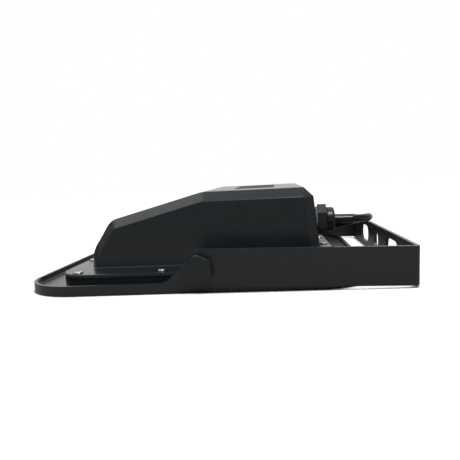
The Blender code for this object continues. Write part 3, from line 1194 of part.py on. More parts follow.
def make_control_board() -> None:
    """The charge control board on its posts, with its screws and main components."""
    place = Vector((BOARD_X, 0, 0))
    size = Vector((BOARD_LENGTH, BOARD_WIDTH, BOARD_THICKNESS))
    board = add_part("control_board", block_mesh("control_board", size, POST_TOP + GAP), place, BOARD_GREEN)
    hole = cylinder_mesh("board_holes", M3_RADIUS + GAP, POST_TOP - OVERRUN, BOARD_TOP + OVERRUN, SMALL_SEGMENTS)
    holes = grouped_mesh("board_holes", hole, at_places(board_screw_places()))
    combine(board, add_cutter("board_holes", holes, place), "DIFFERENCE")
    screw = screw_mesh("board_screw", M3_RADIUS, PAD_TOP + POST_HOLE_FLOOR + GAP, M3_HEAD_RADIUS, BOARD_TOP + GAP,
                       BOARD_TOP + GAP + M3_HEAD_HEIGHT, 0)
    places = at_places(board_screw_places(), BOARD_X)
    add_copies(numbered("control_board_screw", len(places)), screw, places, SCREW_STEEL)
    seat = BOARD_TOP + GAP
    ring = arc((INDUCTOR_RADIUS, 0), INDUCTOR_TUBE_RADIUS, 0, -2 * math.pi, TINY_SEGMENTS)[:-1]
    add_part("board_inductor", turned_mesh("board_inductor", ring),
             Vector((BOARD_X, INDUCTOR_Y, seat + INDUCTOR_TUBE_RADIUS)), FERRITE_GREY)
    capacitor = cylinder_mesh("board_capacitor", CAPACITOR_RADIUS, seat, seat + CAPACITOR_HEIGHT, SMALL_SEGMENTS)
    add_part("board_capacitor", capacitor, Vector((BOARD_X, CAPACITOR_Y, 0)), CRADLE_BLACK)
    terminal = block_mesh("terminal_block", Vector((TERMINAL_LENGTH, TERMINAL_WIDTH, TERMINAL_HEIGHT)), seat)
    add_part("terminal_block", terminal, Vector((BOARD_X, TERMINAL_Y, 0)), TERMINAL_GREEN)


def make_inner_wires() -> None:
    """The lead's inner run to the terminals, and the wires from the board to the LEDs."""
    side_y = -(2 * CELL_LENGTH + CELL_SPACE) / 2 - CRADLE_END_WALL - 2 * LEAD_RADIUS
    terminal_z = BOARD_TOP + GAP + TERMINAL_HEIGHT / 2
    terminal_y = TERMINAL_Y - TERMINAL_WIDTH / 2 - GAP
    thread_end = GLAND_SEAT_X - GLAND_BOSS_THICKNESS - LOCKNUT_HEIGHT - GLAND_THREAD_PROUD - GAP
    pack_half = CELL_COLUMNS * CELL_PITCH / 2
    turn = 2 * LEAD_RADIUS
    supply = [
        (GLAND_SEAT_X + DOME_END, GLAND_Y, GLAND_Z),
        (GLAND_SEAT_X, GLAND_Y, GLAND_Z),
        (thread_end - turn, GLAND_Y, GLAND_Z),
        (BATTERY_X + pack_half, (GLAND_Y + 2 * side_y) / 3, (2 * GLAND_Z + terminal_z) / 3),
        (BATTERY_X + pack_half / 2, side_y, (GLAND_Z + terminal_z) / 2),
        (BATTERY_X, side_y, terminal_z + turn),
        (BATTERY_X - pack_half, side_y, terminal_z),
        (BOARD_X + 2 * turn, side_y, terminal_z),
        (BOARD_X + turn / 3, side_y + turn, terminal_z),
        (BOARD_X, (side_y + terminal_y) / 2, terminal_z),
        (BOARD_X, terminal_y, terminal_z),
    ]
    add_part("supply_wires", cable_mesh("supply_wires", smooth_route(supply, LEAD_POINT_SPACING), LEAD_RADIUS),
             Vector(), LEAD_BLACK)
    start_z = BOARD_TOP + GAP
    hump = start_z + 2 * INNER_WIRE_RADIUS + BOARD_THICKNESS
    led = [
        (BOARD_X, WIRE_START_Y, start_z),
        (BOARD_X, WIRE_START_Y, hump),
        (BOARD_X, (WIRE_START_Y + WIRE_HOLE_Y) / 2, hump + 2 * INNER_WIRE_RADIUS),
        (BOARD_X, WIRE_HOLE_Y, hump),
        (BOARD_X, WIRE_HOLE_Y, PAD_TOP + INNER_WIRE_RADIUS),
        (BOARD_X, WIRE_HOLE_Y, PAD_UNDERSIDE),
    ]
    add_part("led_wires", cable_mesh("led_wires", smooth_route(led, WIRE_POINT_SPACING), INNER_WIRE_RADIUS),
             Vector(), RUBBER_BLACK)


def main() -> None:
    """Build every sub-part."""
    make_tray()
    make_cover()
    make_gasket()
    make_cover_screws()
    make_label()
    make_front()
    make_yoke()
    make_pivots()
    make_gland()
    make_lead()
    make_connector()
    make_battery()
    make_control_board()
    make_inner_wires()


main()
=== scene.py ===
"""Looks of the solar floodlight: finishes, detailed pieces, camera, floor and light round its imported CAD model."""
import logging
import math
from collections.abc import Callable
from dataclasses import dataclass
from enum import Enum

import bmesh
import bpy
from mathutils import Matrix, Vector


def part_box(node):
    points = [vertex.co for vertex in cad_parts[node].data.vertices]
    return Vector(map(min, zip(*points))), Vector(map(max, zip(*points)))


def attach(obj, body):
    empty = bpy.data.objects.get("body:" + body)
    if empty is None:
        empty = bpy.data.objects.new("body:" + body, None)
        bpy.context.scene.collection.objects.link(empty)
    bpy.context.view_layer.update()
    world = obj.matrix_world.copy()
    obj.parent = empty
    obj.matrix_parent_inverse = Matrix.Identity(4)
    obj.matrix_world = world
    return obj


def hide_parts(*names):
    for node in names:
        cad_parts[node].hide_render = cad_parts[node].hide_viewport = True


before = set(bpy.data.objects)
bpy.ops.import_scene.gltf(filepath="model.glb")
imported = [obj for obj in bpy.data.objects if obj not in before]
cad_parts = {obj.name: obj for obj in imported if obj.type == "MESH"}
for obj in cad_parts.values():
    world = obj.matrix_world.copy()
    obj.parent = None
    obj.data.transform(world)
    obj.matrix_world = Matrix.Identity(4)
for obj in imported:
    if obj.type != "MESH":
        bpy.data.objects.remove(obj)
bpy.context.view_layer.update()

LOG = logging.getLogger("solar floodlight")
QUARTER = math.pi / 2
TRAY_LEFT = -0.132395  # The tray's left end, from which the camera's and the lead's X are given.
GAP = 0.0003  # Clearance between neighbours.
TOLERANCE = 0.00001  # Heights that differ by less are the same.
MERGE = 0.000002  # Vertices that are closer are one.
DOWNWARD = -0.9  # A face whose normal has a lower Z points down.
SMOOTHSTEP = {"interpolation_type": "SMOOTHSTEP"}


class Body(Enum):
    """The part's moving bodies, by their names in the record."""

    HEAD = "head"
    YOKE = "yoke"
    COLLAR = "collar"


class Domain(Enum):
    """What is selected in edit mode."""

    VERTS = "VERT"
    EDGES = "EDGE"
    FACES = "FACE"


def linear(code: str) -> tuple[float, float, float, float]:
    """Turn an sRGB hex colour into Blender's linear colour.

    Args:
        code: Six hex digits after a hash sign.

    Returns:
        Red, green, blue and a full alpha.
    """
    shares = [int(code[start:start + 2], 16) / 255 for start in (1, 3, 5)]
    red, green, blue = (share / 12.92 if share <= 0.04045 else ((share + 0.055) / 1.055) ** 2.4 for share in shares)
    return red, green, blue, 1.0


def add_node(tree: bpy.types.NodeTree, kind: str, settings: dict | None = None, values: dict | None = None,
             links: dict | None = None) -> bpy.types.Node:
    """Add one shader node with its settings, its sockets' values and its incoming links.

    Args:
        tree: The tree that gets the node.
        kind: The node's type name.
        settings: Attributes of the node.
        values: Sockets, by name or number, and their constant values.
        links: Sockets, by name or number, and the output sockets that feed them.

    Returns:
        The new node.
    """
    node = tree.nodes.new(kind)
    for name, value in (settings or {}).items():
        setattr(node, name, value)
    for name, value in (values or {}).items():
        node.inputs[name].default_value = value
    for name, socket in (links or {}).items():
        tree.links.new(socket, node.inputs[name])
    return node


def add_object(name: str, data: bpy.types.ID) -> bpy.types.Object:
    """Link a new object to the scene.

    Args:
        name: Its name.
        data: Its mesh, curve, camera or lamp.

    Returns:
        The object.
    """
    item = bpy.data.objects.new(name, data)
    bpy.context.scene.collection.objects.link(item)
    return item


def start_material(name: str, **values: object) -> tuple[bpy.types.Material, bpy.types.NodeTree, bpy.types.Node,
                                                         bpy.types.NodeSocket]:
    """Make a material whose Principled shader has constant values on its own sockets.

    Args:
        name: The material's name.
        **values: Socket names, with underscores for spaces, and their values.

    Returns:
        The material, its node tree, its Principled shader and the socket of the piece's own coordinates.
    """
    material = bpy.data.materials.new(name)
    material.use_nodes = True
    tree = material.node_tree
    shader = tree.nodes["Principled BSDF"]
    for socket, value in values.items():
        shader.inputs[socket.replace("_", " ")].default_value = value
    return material, tree, shader, add_node(tree, "ShaderNodeTexCoord").outputs["Object"]


class Finish:
    """A finish that is made into one material, once."""

    title: str  # The material's name.

    def make(self) -> bpy.types.Material:
        """Make the material."""
        raise NotImplementedError

    def material(self) -> bpy.types.Material:
        """The finish's material, made on its first use."""
        return bpy.data.materials.get(self.title) or self.make()

    def dress(self, piece: bpy.types.Object) -> None:
        """Put the finish on a whole piece, also on faces that had another.

        Args:
            piece: The mesh that gets it.
        """
        piece.data.materials.clear()
        piece.data.materials.append(self.material())
        for face in piece.data.polygons:
            face.material_index = 0

    @staticmethod
    def lay(tree: bpy.types.NodeTree, tone: bpy.types.NodeSocket, colours: tuple[str, str],
            wear: bpy.types.NodeSocket, roughness: tuple[float, float],
            relief: tuple[bpy.types.NodeSocket, float, float] | None = None) -> None:
        """Feed a shader's colour, roughness and relief from patterns.

        Args:
            tree: The material's node tree.
            tone: The pattern that mixes the two colours.
            colours: The colours as hex codes.
            wear: The pattern that drives the roughness.
            roughness: The least and the most roughness.
            relief: The pattern of the relief, its height in mm and its strength.
        """
        shader = tree.nodes["Principled BSDF"]
        tint = add_node(tree, "ShaderNodeMix", settings={"data_type": "RGBA"},
                        values={6: linear(colours[0]), 7: linear(colours[1])}, links={0: tone})
        matt = add_node(tree, "ShaderNodeMapRange", values={"To Min": roughness[0], "To Max": roughness[1]},
                        links={"Value": wear})
        tree.links.new(tint.outputs[2], shader.inputs["Base Color"])
        tree.links.new(matt.outputs["Result"], shader.inputs["Roughness"])
        if relief:
            grain, height_mm, strength = relief
            bump = add_node(tree, "ShaderNodeBump", values={"Strength": strength, "Distance": height_mm / 1000},
                            links={"Height": grain})
            tree.links.new(bump.outputs["Normal"], shader.inputs["Normal"])


@dataclass(frozen=True)
class PowderCoat(Finish):
    """Black polyester powder coat, sprayed and baked: a satin film with a fine orange-peel grain."""

    title: str = "powder_coat_on_casting"
    colour: str = "#1d2226"
    speck: str = "#2b3135"  # The grain's lighter tips.
    grain_mm: float = 0.7  # Spacing of the grain; a real one is about 0.3 mm, too fine to show, so it is drawn coarser.
    roughness: float = 0.27
    gloss: float = 0.5  # Specular level.
    relief_mm: float = 0.05  # Height of the grain.
    tips: tuple[float, float] = (0.52, 0.72)  # Values of the grain between which its tips turn light.
    drifts: float = 22.0  # Slow changes of the roughness in a metre, and how far they go.
    drift: float = 0.05

    def make(self) -> bpy.types.Material:
        """Make the coat's material.

        Returns:
            The material.
        """
        material, tree, _, place = start_material(self.title, Specular_IOR_Level=self.gloss)
        grain = add_node(tree, "ShaderNodeTexNoise", links={"Vector": place},
                         values={"Scale": 1000 / self.grain_mm, "Detail": 3.0, "Roughness": 0.6}).outputs["Fac"]
        drift = add_node(tree, "ShaderNodeTexNoise", values={"Scale": self.drifts, "Detail": 2.0},
                         links={"Vector": place}).outputs["Fac"]
        light = add_node(tree, "ShaderNodeMapRange", values={"From Min": self.tips[0], "From Max": self.tips[1]},
                         links={"Value": grain}).outputs["Result"]
        self.lay(tree, light, (self.colour, self.speck), drift,
                 (self.roughness - self.drift, self.roughness + self.drift), (grain, self.relief_mm, 0.5))
        return material


@dataclass(frozen=True)
class BareMetal(Finish):
    """A bare or plated metal: drawn, turned or stamped, with faint tool marks."""

    title: str = "zinc_plated_steel"
    colour: str = "#d6d5cf"
    stain: str = "#b9b8b0"  # A duller tone in its film.
    roughness: float = 0.24
    # Spacing of the marks; real ones are about 0.1 mm, too fine to show, so they are drawn coarser.
    mark_mm: float = 0.4
    polish: float = 0.06  # How much smoother the metal is beside a mark, and rougher on one.
    scuff: float = 0.1

    def make(self) -> bpy.types.Material:
        """Make the metal's material.

        Returns:
            The material.
        """
        material, tree, _, place = start_material(self.title, Metallic=1.0)
        marks = add_node(tree, "ShaderNodeTexNoise", values={"Scale": 1000 / self.mark_mm, "Detail": 2.0},
                         links={"Vector": place}).outputs["Fac"]
        self.lay(tree, marks, (self.colour, self.stain), marks,
                 (self.roughness - self.polish, self.roughness + self.scuff))
        return material


@dataclass(frozen=True)
class Moulded(Finish):
    """A moulded plastic or rubber with a faint cloudy skin and a spark-eroded grain."""

    title: str
    colour: str
    cloud: str  # The skin's paler clouds.
    roughness: float
    gloss: float = 0.4
    # Spacing of the mould's grain; a real one is about 0.1 mm, too fine to show, so it is drawn coarser.
    grain_mm: float = 0.6
    relief_mm: float = 0.01  # Height of the grain.
    clouds: float = 140.0  # Clouds in a metre, and how far the roughness drifts with them.
    drift: float = 0.05

    def make(self) -> bpy.types.Material:
        """Make the plastic's material.

        Returns:
            The material.
        """
        material, tree, _, place = start_material(self.title, Specular_IOR_Level=self.gloss)
        cloud = add_node(tree, "ShaderNodeTexNoise", values={"Scale": self.clouds, "Detail": 3.0},
                         links={"Vector": place}).outputs["Fac"]
        grain = add_node(tree, "ShaderNodeTexNoise", values={"Scale": 1000 / self.grain_mm, "Detail": 1.0},
                         links={"Vector": place}).outputs["Fac"]
        self.lay(tree, cloud, (self.colour, self.cloud), cloud,
                 (self.roughness - self.drift, self.roughness + self.drift), (grain, self.relief_mm, 0.4))
        return material


@dataclass(frozen=True)
class TemperedGlass(Finish):
    """Clear float glass, tempered, with the faint green of its iron."""

    title: str = "tempered_glass"
    colour: str = "#f3faf6"
    roughness: float = 0.02
    index: float = 1.52
    film: float = 0.03  # How much rougher a thin film of dust makes it, and its patches in a metre.
    films: float = 35.0
    dusty: tuple[float, float] = (0.4, 0.8)  # Values of the pattern between which the film thickens.

    def make(self) -> bpy.types.Material:
        """Make the glass's material.

        Returns:
            The material.
        """
        material, tree, shader, place = start_material(self.title, Base_Color=linear(self.colour),
                                                       Transmission_Weight=1.0, IOR=self.index)
        film = add_node(tree, "ShaderNodeTexNoise", values={"Scale": self.films, "Detail": 3.0},
                        links={"Vector": place})
        matt = add_node(tree, "ShaderNodeMapRange", links={"Value": film.outputs["Fac"]},
                        values={"From Min": self.dusty[0], "From Max": self.dusty[1], "To Min": self.roughness,
                                "To Max": self.roughness + self.film})
        tree.links.new(matt.outputs["Result"], shader.inputs["Roughness"])
        return material


@dataclass(frozen=True)
class CircuitBoard(Finish):
    """Solder mask over copper: tracks show as a slightly different tone under a glossy film."""

    title: str = "white_solder_mask"
    colour: str = "#e9ebea"  # The mask over bare laminate, and over copper.
    track: str = "#f7f7f4"
    track_mm: float = 7.0  # Spacing of the tracks.
    roughness: tuple[float, float] = (0.3, 0.42)  # The least and the most, which change with fine speckles.
    speckles: float = 900.0

    def make(self) -> bpy.types.Material:
        """Make the board's material.

        Returns:
            The material.
        """
        material, tree, shader, place = start_material(self.title, Specular_IOR_Level=0.5)
        tracks = add_node(tree, "ShaderNodeTexBrick", settings={"offset": 0.5},
                          values={"Color1": linear(self.track), "Color2": linear(self.track),
                                  "Mortar": linear(self.colour), "Scale": 1.0, "Mortar Size": self.track_mm / 12000,
                                  "Brick Width": self.track_mm / 500, "Row Height": self.track_mm / 1000},
                          links={"Vector": place})
        speckle = add_node(tree, "ShaderNodeTexNoise", values={"Scale": self.speckles}, links={"Vector": place})
        matt = add_node(tree, "ShaderNodeMapRange",
                        values={"To Min": self.roughness[0], "To Max": self.roughness[1]},
                        links={"Value": speckle.outputs["Fac"]})
        tree.links.new(tracks.outputs["Color"], shader.inputs["Base Color"])
        tree.links.new(matt.outputs["Result"], shader.inputs["Roughness"])
        return material


# Die-cast aluminium under polyester powder, sprayed and baked: blue-black satin that mirrors the room softly.
CASTING_COAT = PowderCoat()
# The same powder on cold-rolled strip, which is flatter: a more even grey-black.
YOKE_COAT = PowderCoat("powder_coat_on_steel", "#1d2124", "#292e32", 0.7, 0.3, 0.5, 0.04)
# Forged bolts, black oxide and oil: duller than the paint, with a coarse faint mottle.
BOLT_COAT = PowderCoat("black_oxide_steel", "#1e2225", "#282c2f", 1.2, 0.32, 0.42, 0.02)
# Bright zinc on stamped or headed steel: slightly blurred mirror with faint marks.
PLATED_STEEL = BareMetal()
# Turned brass: warm, brighter than the zinc, with finer marks.
BRASS = BareMetal("turned_brass", "#d9bd74", "#c2a45e", 0.26, 0.5)
# Extruded PVC: nearly black and wet-looking, with one long sharp highlight.
CORD_SKIN = Moulded("glossy_pvc_sheath", "#0d1014", "#14181d", 0.1, 0.62, 2.4, 0.03)
# Moulded polyamide: neutral black with a soft sheen.
NYLON = Moulded("moulded_nylon", "#131415", "#191a1b", 0.33, 0.55)
# Moulded EPDM: flat black, hardly any sheen.
RUBBER = Moulded("black_epdm_rubber", "#121213", "#18191a", 0.72, 0.3, 0.5, 0.02)
# Punched silicone sheet: pale blue-grey and waxy.
SEAL_RUBBER = Moulded("blue_grey_silicone", "#7c8894", "#8a95a0", 0.5, 0.3)
# A bead of silicone from a nozzle: grey and waxy.
GREY_SILICONE = Moulded("grey_silicone_bead", "#9a9c9c", "#a8aaaa", 0.45, 0.4)
# Matt polyester film: flatter and more neutral than the paint round it.
LABEL_FILM = Moulded("matt_polyester_film", "#17181a", "#1c1d1f", 0.62, 0.2, 0.4, 0.004)
# Moulded ABS with a light grain: satin black.
CRADLE_ABS = Moulded("black_abs", "#1b1b1c", "#232324", 0.5, 0.4)
# Shrunk PVC film: glossy blue with slow waves.
CELL_WRAP = Moulded("blue_shrink_wrap", "#1f55a5", "#2a63b5", 0.28, 0.5, 3.0, 0.02)
# Moulded polyamide, dyed green: satin.
TERMINAL_NYLON = Moulded("green_terminal_nylon", "#2f8f4e", "#37a05a", 0.42, 0.4)
# Shrunk sleeve on an aluminium can: fairly glossy blue-black.
CAPACITOR_SLEEVE = Moulded("black_capacitor_sleeve", "#16171b", "#1d1f25", 0.3, 0.5)
# Pressed and sintered ferrite: dull grey with a sandy grain.
FERRITE = Moulded("sintered_ferrite", "#4a4c4e", "#575a5c", 0.6, 0.35, 0.3, 0.02)
# Phosphor in clear silicone: saturated yellow under a glossy skin.
LED_PHOSPHOR = Moulded("yellow_phosphor_silicone", "#e6c431", "#f0d24e", 0.3, 0.5)
# Moulded white thermoplastic: bright and even.
LED_CASE = Moulded("white_led_case", "#e9e8e2", "#f2f1ec", 0.5, 0.4)
# Tempered float glass: clear, with a faint green and a trace of dust.
GLASS = TemperedGlass()
# White solder mask: bright, and a little warmer over the copper.
LED_BOARD_MASK = CircuitBoard()
# Green solder mask: dark green, and lighter over the tracks.
CONTROL_BOARD_MASK = CircuitBoard("green_solder_mask", "#14532f", "#1c6b3d", 4.0)


class Work:
    """One mesh that is being shaped with the modelling operators."""

    def __init__(self, piece: bpy.types.Object, name: str) -> None:
        """Take a new object and give it its name.

        Args:
            piece: The object.
            name: Its name, and its mesh's.
        """
        self.piece = piece
        piece.name = name
        piece.data.name = name

    @staticmethod
    def clear() -> None:
        """Deselect everything, in object mode."""
        if bpy.context.object and bpy.context.object.mode != "OBJECT":
            bpy.ops.object.mode_set(mode="OBJECT")
        bpy.ops.object.select_all(action="DESELECT")

    @classmethod
    def cylinder(cls, name: str, radius: float, start: float, end: float, sides: int = 48) -> "Work":
        """Start from a cylinder along Z.

        Args:
            name: The piece's name.
            radius: Its radius, to its corners.
            start: Height of its lower face.
            end: Height of its upper face.
            sides: How many sides it has.

        Returns:
            The started work.
        """
        cls.clear()
        bpy.ops.mesh.primitive_cylinder_add(vertices=sides, radius=radius, depth=end - start,
                                            location=(0, 0, (start + end) / 2))
        return cls(bpy.context.object, name).set_place()

    @classmethod
    def block(cls, name: str, size: tuple[float, float, float], middle: tuple[float, float, float]) -> "Work":
        """Start from a block.

        Args:
            name: The piece's name.
            size: Its sides along X, Y and Z.
            middle: Its middle.

        Returns:
            The started work.
        """
        cls.clear()
        bpy.ops.mesh.primitive_cube_add(size=1, location=middle)
        bpy.context.object.scale = size
        return cls(bpy.context.object, name).set_place()

    @classmethod
    def profile(cls, name: str, points: list[tuple[float, float]], steps: int = 48) -> "Work":
        """Start from a closed outline of (radius, height) points, spun about Z.

        Args:
            name: The piece's name.
            points: The outline, whose first and last points may lie on the axis.
            steps: How many steps the full turn has.

        Returns:
            The started work, closed and with its faces outwards.
        """
        cls.clear()
        bpy.ops.mesh.primitive_plane_add(size=1)
        work = cls(bpy.context.object, name)
        bpy.ops.object.mode_set(mode="EDIT")
        mesh = bmesh.from_edit_mesh(work.piece.data)
        bmesh.ops.delete(mesh, geom=mesh.verts[:], context="VERTS")
        verts = [mesh.verts.new((radius, 0, height)) for radius, height in points]
        for first, last in zip(verts, verts[1:]):
            mesh.edges.new((first, last))
        if points[0][0] > 0:
            mesh.edges.new((verts[-1], verts[0]))
        bmesh.update_edit_mesh(work.piece.data)
        bpy.ops.mesh.select_all(action="SELECT")
        bpy.ops.mesh.spin(steps=steps, angle=2 * math.pi, center=(0, 0, 0), axis=(0, 0, 1))
        bpy.ops.mesh.select_all(action="SELECT")
        bpy.ops.mesh.remove_doubles(threshold=MERGE)
        bpy.ops.mesh.normals_make_consistent(inside=False)
        bpy.ops.object.mode_set(mode="OBJECT")
        return work

    @classmethod
    def node_copy(cls, name: str, node: str, join_flat: bool = True) -> "Work":
        """Start from a merged copy of a CAD node.

        Args:
            name: The piece's name.
            node: The CAD node's name.
            join_flat: Whether triangles in one plane are joined, which suits faces without many holes.

        Returns:
            The started work.
        """
        cls.clear()
        work = cls(add_object(name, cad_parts[node].data.copy()), name)
        work.take()
        bpy.ops.object.mode_set(mode="EDIT")
        bpy.ops.mesh.select_all(action="SELECT")
        bpy.ops.mesh.remove_doubles(threshold=MERGE)
        bpy.ops.mesh.customdata_custom_splitnormals_clear()
        if join_flat:
            bpy.ops.mesh.dissolve_limited(angle_limit=math.radians(0.5))
        bpy.ops.object.mode_set(mode="OBJECT")
        return work

    def take(self) -> "Work":
        """Make this piece the only selected and the active one.

        Returns:
            This work.
        """
        self.clear()
        self.piece.select_set(True)
        bpy.context.view_layer.objects.active = self.piece
        return self

    def pick(self, domain: Domain, test: Callable) -> "Work":
        """Enter edit mode and select what passes a test.

        Args:
            domain: Whether verts, edges or faces are tested.
            test: Takes one of them and says whether it is selected.

        Returns:
            This work, in edit mode.
        """
        self.take()
        bpy.ops.object.mode_set(mode="EDIT")
        bpy.ops.mesh.select_mode(type=domain.value)
        bpy.ops.mesh.select_all(action="DESELECT")
        mesh = bmesh.from_edit_mesh(self.piece.data)
        mesh.normal_update()
        groups = {Domain.VERTS: mesh.verts, Domain.EDGES: mesh.edges, Domain.FACES: mesh.faces}
        for item in groups[domain]:
            if test(item):
                item.select_set(True)
        bmesh.update_edit_mesh(self.piece.data)
        return self

    def leave(self) -> "Work":
        """Go back to object mode."""
        bpy.ops.object.mode_set(mode="OBJECT")
        return self

    def modify(self, kind: str, **settings: object) -> "Work":
        """Add a modifier and apply it.

        Args:
            kind: The modifier's type.
            **settings: Its settings.

        Returns:
            This work.
        """
        self.take()
        modifier = self.piece.modifiers.new(kind.lower(), kind)
        for name, value in settings.items():
            setattr(modifier, name, value)
        bpy.ops.object.modifier_apply(modifier=modifier.name)
        return self

    def soften(self, width: float, segments: int = 3, angle: float = 30.0) -> "Work":
        """Round every edge sharper than an angle, as coating and tumbling leave it."""
        return self.modify("BEVEL", width=width, segments=segments, limit_method="ANGLE",
                           angle_limit=math.radians(angle), use_clamp_overlap=True, miter_outer="MITER_ARC")

    def join(self, *others: "Work") -> "Work":
        """Join other works to this one as one mesh.

        Args:
            *others: The works that are used up.

        Returns:
            This work.
        """
        self.take()
        for other in others:
            other.piece.select_set(True)
        bpy.ops.object.join()
        return self

    def boolean(self, other: "Work", operation: str = "DIFFERENCE") -> "Work":
        """Combine with another work, which is used up.

        Args:
            other: The work that cuts, or that is cut with.
            operation: How they are combined.

        Returns:
            This work.
        """
        self.modify("BOOLEAN", object=other.piece, operation=operation, solver="EXACT")
        bpy.data.objects.remove(other.piece)
        return self

    def copy(self, name: str) -> "Work":
        """A copy with its own mesh."""
        return Work(add_object(name, self.piece.data.copy()), name)

    def drop(self) -> None:
        """Remove a pattern whose copies are made."""
        bpy.data.objects.remove(self.piece)

    def set_place(self, matrix: Matrix | None = None) -> "Work":
        """Write the object's place into its mesh.

        Args:
            matrix: A further move of the mesh.

        Returns:
            This work.
        """
        self.take()
        bpy.ops.object.transform_apply(location=True, rotation=True, scale=True)
        if matrix is not None:
            self.piece.data.transform(matrix)
        return self

    def smooth(self, angle: float = 35.0, weighted: bool = False) -> "Work":
        """Shade smooth.

        Args:
            angle: Up to which angle an edge is smooth, in degrees.
            weighted: Whether large faces are kept flat.

        Returns:
            This work.
        """
        self.take()
        bpy.ops.object.shade_smooth_by_angle(angle=math.radians(angle))
        if weighted:
            self.modify("WEIGHTED_NORMAL", keep_sharp=True, weight=80)
        return self

    def finish(self, finish: Finish | None, body: Body, slot: str, *nodes: str) -> bpy.types.Object:
        """Dress the piece, let it ride on its body, hide the CAD nodes that it replaces and report it.

        Args:
            finish: The finish that it gets, or none where it has its materials.
            body: The body that it rides on.
            slot: The record's material slot; not used.
            *nodes: The CAD nodes that it replaces.

        Returns:
            The finished piece.
        """
        if finish:
            finish.dress(self.piece)
        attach(self.piece, body.value)
        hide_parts(*nodes)
        LOG.info("piece %s rides on %s", self.piece.name, body.value)
        return self.piece


def keep_nodes(finish: Finish, *nodes: str) -> None:
    """Give CAD nodes that keep their own shape a better finish.

    Args:
        finish: The finish.
        *nodes: The nodes' names.
    """
    for node in nodes:
        finish.dress(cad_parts[node])
        LOG.info("node %s dressed", node)


def middle_of(node: str) -> Vector:
    """The middle of a CAD node's box."""
    low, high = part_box(node)
    return (Vector(low) + Vector(high)) / 2


@dataclass(frozen=True)
class StudioCamera:
    """The camera that sees the object as the photograph does."""

    place: tuple[float, float, float] = (0.17604, -0.4548, 0.074755)  # In metres, with X from the tray's left end.
    yaw: float = -0.088  # To the right of +Y, down, and about the view's axis, in radians.
    pitch: float = 0.104
    roll: float = -0.050
    focal_pixels: float = 520.0  # The focal length and the frame's width in pixels of the photograph.
    frame_pixels: float = 460.0
    sensor_mm: float = 36.0
    nearest: float = 0.01

    def build(self) -> None:
        """Make the camera and set it as the scene's."""
        forward = Vector((math.sin(self.yaw) * math.cos(self.pitch), math.cos(self.yaw) * math.cos(self.pitch),
                          -math.sin(self.pitch)))
        level = Vector((math.cos(self.yaw), -math.sin(self.yaw), 0.0))
        upright = level.cross(forward)
        right = math.cos(self.roll) * level + math.sin(self.roll) * upright
        up = math.cos(self.roll) * upright - math.sin(self.roll) * level
        turn = Matrix((right, up, -forward)).transposed()
        lens = bpy.data.cameras.new("photo_camera")
        lens.sensor_width = self.sensor_mm
        lens.lens = self.focal_pixels / self.frame_pixels * self.sensor_mm
        lens.clip_start = self.nearest
        camera = add_object("photo_camera", lens)
        place = Vector(self.place) + Vector((TRAY_LEFT, 0, 0))
        camera.matrix_world = Matrix.Translation(place) @ turn.to_4x4()
        bpy.context.scene.camera = camera


@dataclass
class Lead:
    """The free lead: a round PVC cable from the gland to its connector."""

    radius: float = 0.00295
    length: float = 0.3154  # The real lead's.
    spacing: float = 0.0017  # Between the points of the centre line.
    # Where it leaves the gland, and where it enters the connector.
    start: tuple[float, float, float] = (0.087205, -0.0674, 0.0393)
    end: tuple[float, float, float] = (-0.048595, 0.0945, 0.0194)
    # The points that the part's source gives for it, with X from the tray's left end.
    route: tuple[tuple[float, float, float], ...] = (
        (.2272, -.0674, .0391), (.2340, -.0663, .0389), (.2402, -.0629, .0388), (.2450, -.0578, .0387),
        (.2473, -.0511, .0385), (.2472, -.0440, .0377), (.2445, -.0374, .0363), (.2396, -.0318, .0346),
        (.2332, -.0272, .0328), (.2266, -.0219, .0309), (.2208, -.0144, .0287), (.2166, -.0046, .0261),
        (.2146, .0050, .0239), (.2140, .0140, .0219), (.2142, .0270, .0201), (.2144, .0390, .0189),
        (.2144, .0510, .0178), (.2142, .0630, .0164), (.2126, .0750, .0152), (.2078, .0862, .0149),
        (.1995, .0926, .01485), (.1890, .0944, .01485), (.1740, .0938, .01485), (.1560, .0930, .01485),
        (.1380, .0930, .01485), (.1220, .0935, .0149), (.1100, .0941, .0159), (.1010, .0945, .0182),
        (.0930, .0945, .0194))

    def centre_line(self) -> list[Vector]:
        """The lead's centre line.

        Returns:
            Closely spaced points on one smooth curve.
        """
        places = [Vector(self.start), *[Vector((x + TRAY_LEFT, y, z)) for x, y, z in self.route], Vector(self.end)]
        ends = [places[0] * 2 - places[1], *places, places[-1] * 2 - places[-2]]
        line = []
        for before, first, last, after in zip(ends, ends[1:], ends[2:], ends[3:]):
            steps = max(1, round((last - first).length / self.spacing))
            for step in range(steps):
                share = step / steps
                line.append(0.5 * (2 * first + (last - before) * share
                                   + (2 * before - 5 * first + 4 * last - after) * share ** 2
                                   + (3 * first - before - 3 * last + after) * share ** 3))
        return [*line, places[-1]]

    def build(self) -> bpy.types.Object:
        """Make the lead as a curve, before the pieces that it runs to.

        Returns:
            The lead's object.
        """
        line = self.centre_line()
        data = bpy.data.curves.new("lead", "CURVE")
        data.dimensions = "3D"
        data.bevel_depth = self.radius
        data.bevel_resolution = 6
        data.use_fill_caps = True
        spline = data.splines.new("POLY")
        spline.points.add(len(line) - 1)
        for point, place in zip(spline.points, line):
            point.co = (*place, 1.0)
        spline.use_smooth = True
        data.materials.append(CORD_SKIN.material())
        return Work(add_object("lead", data), "lead").finish(None, Body.HEAD, "lead_black", "lead_cord")


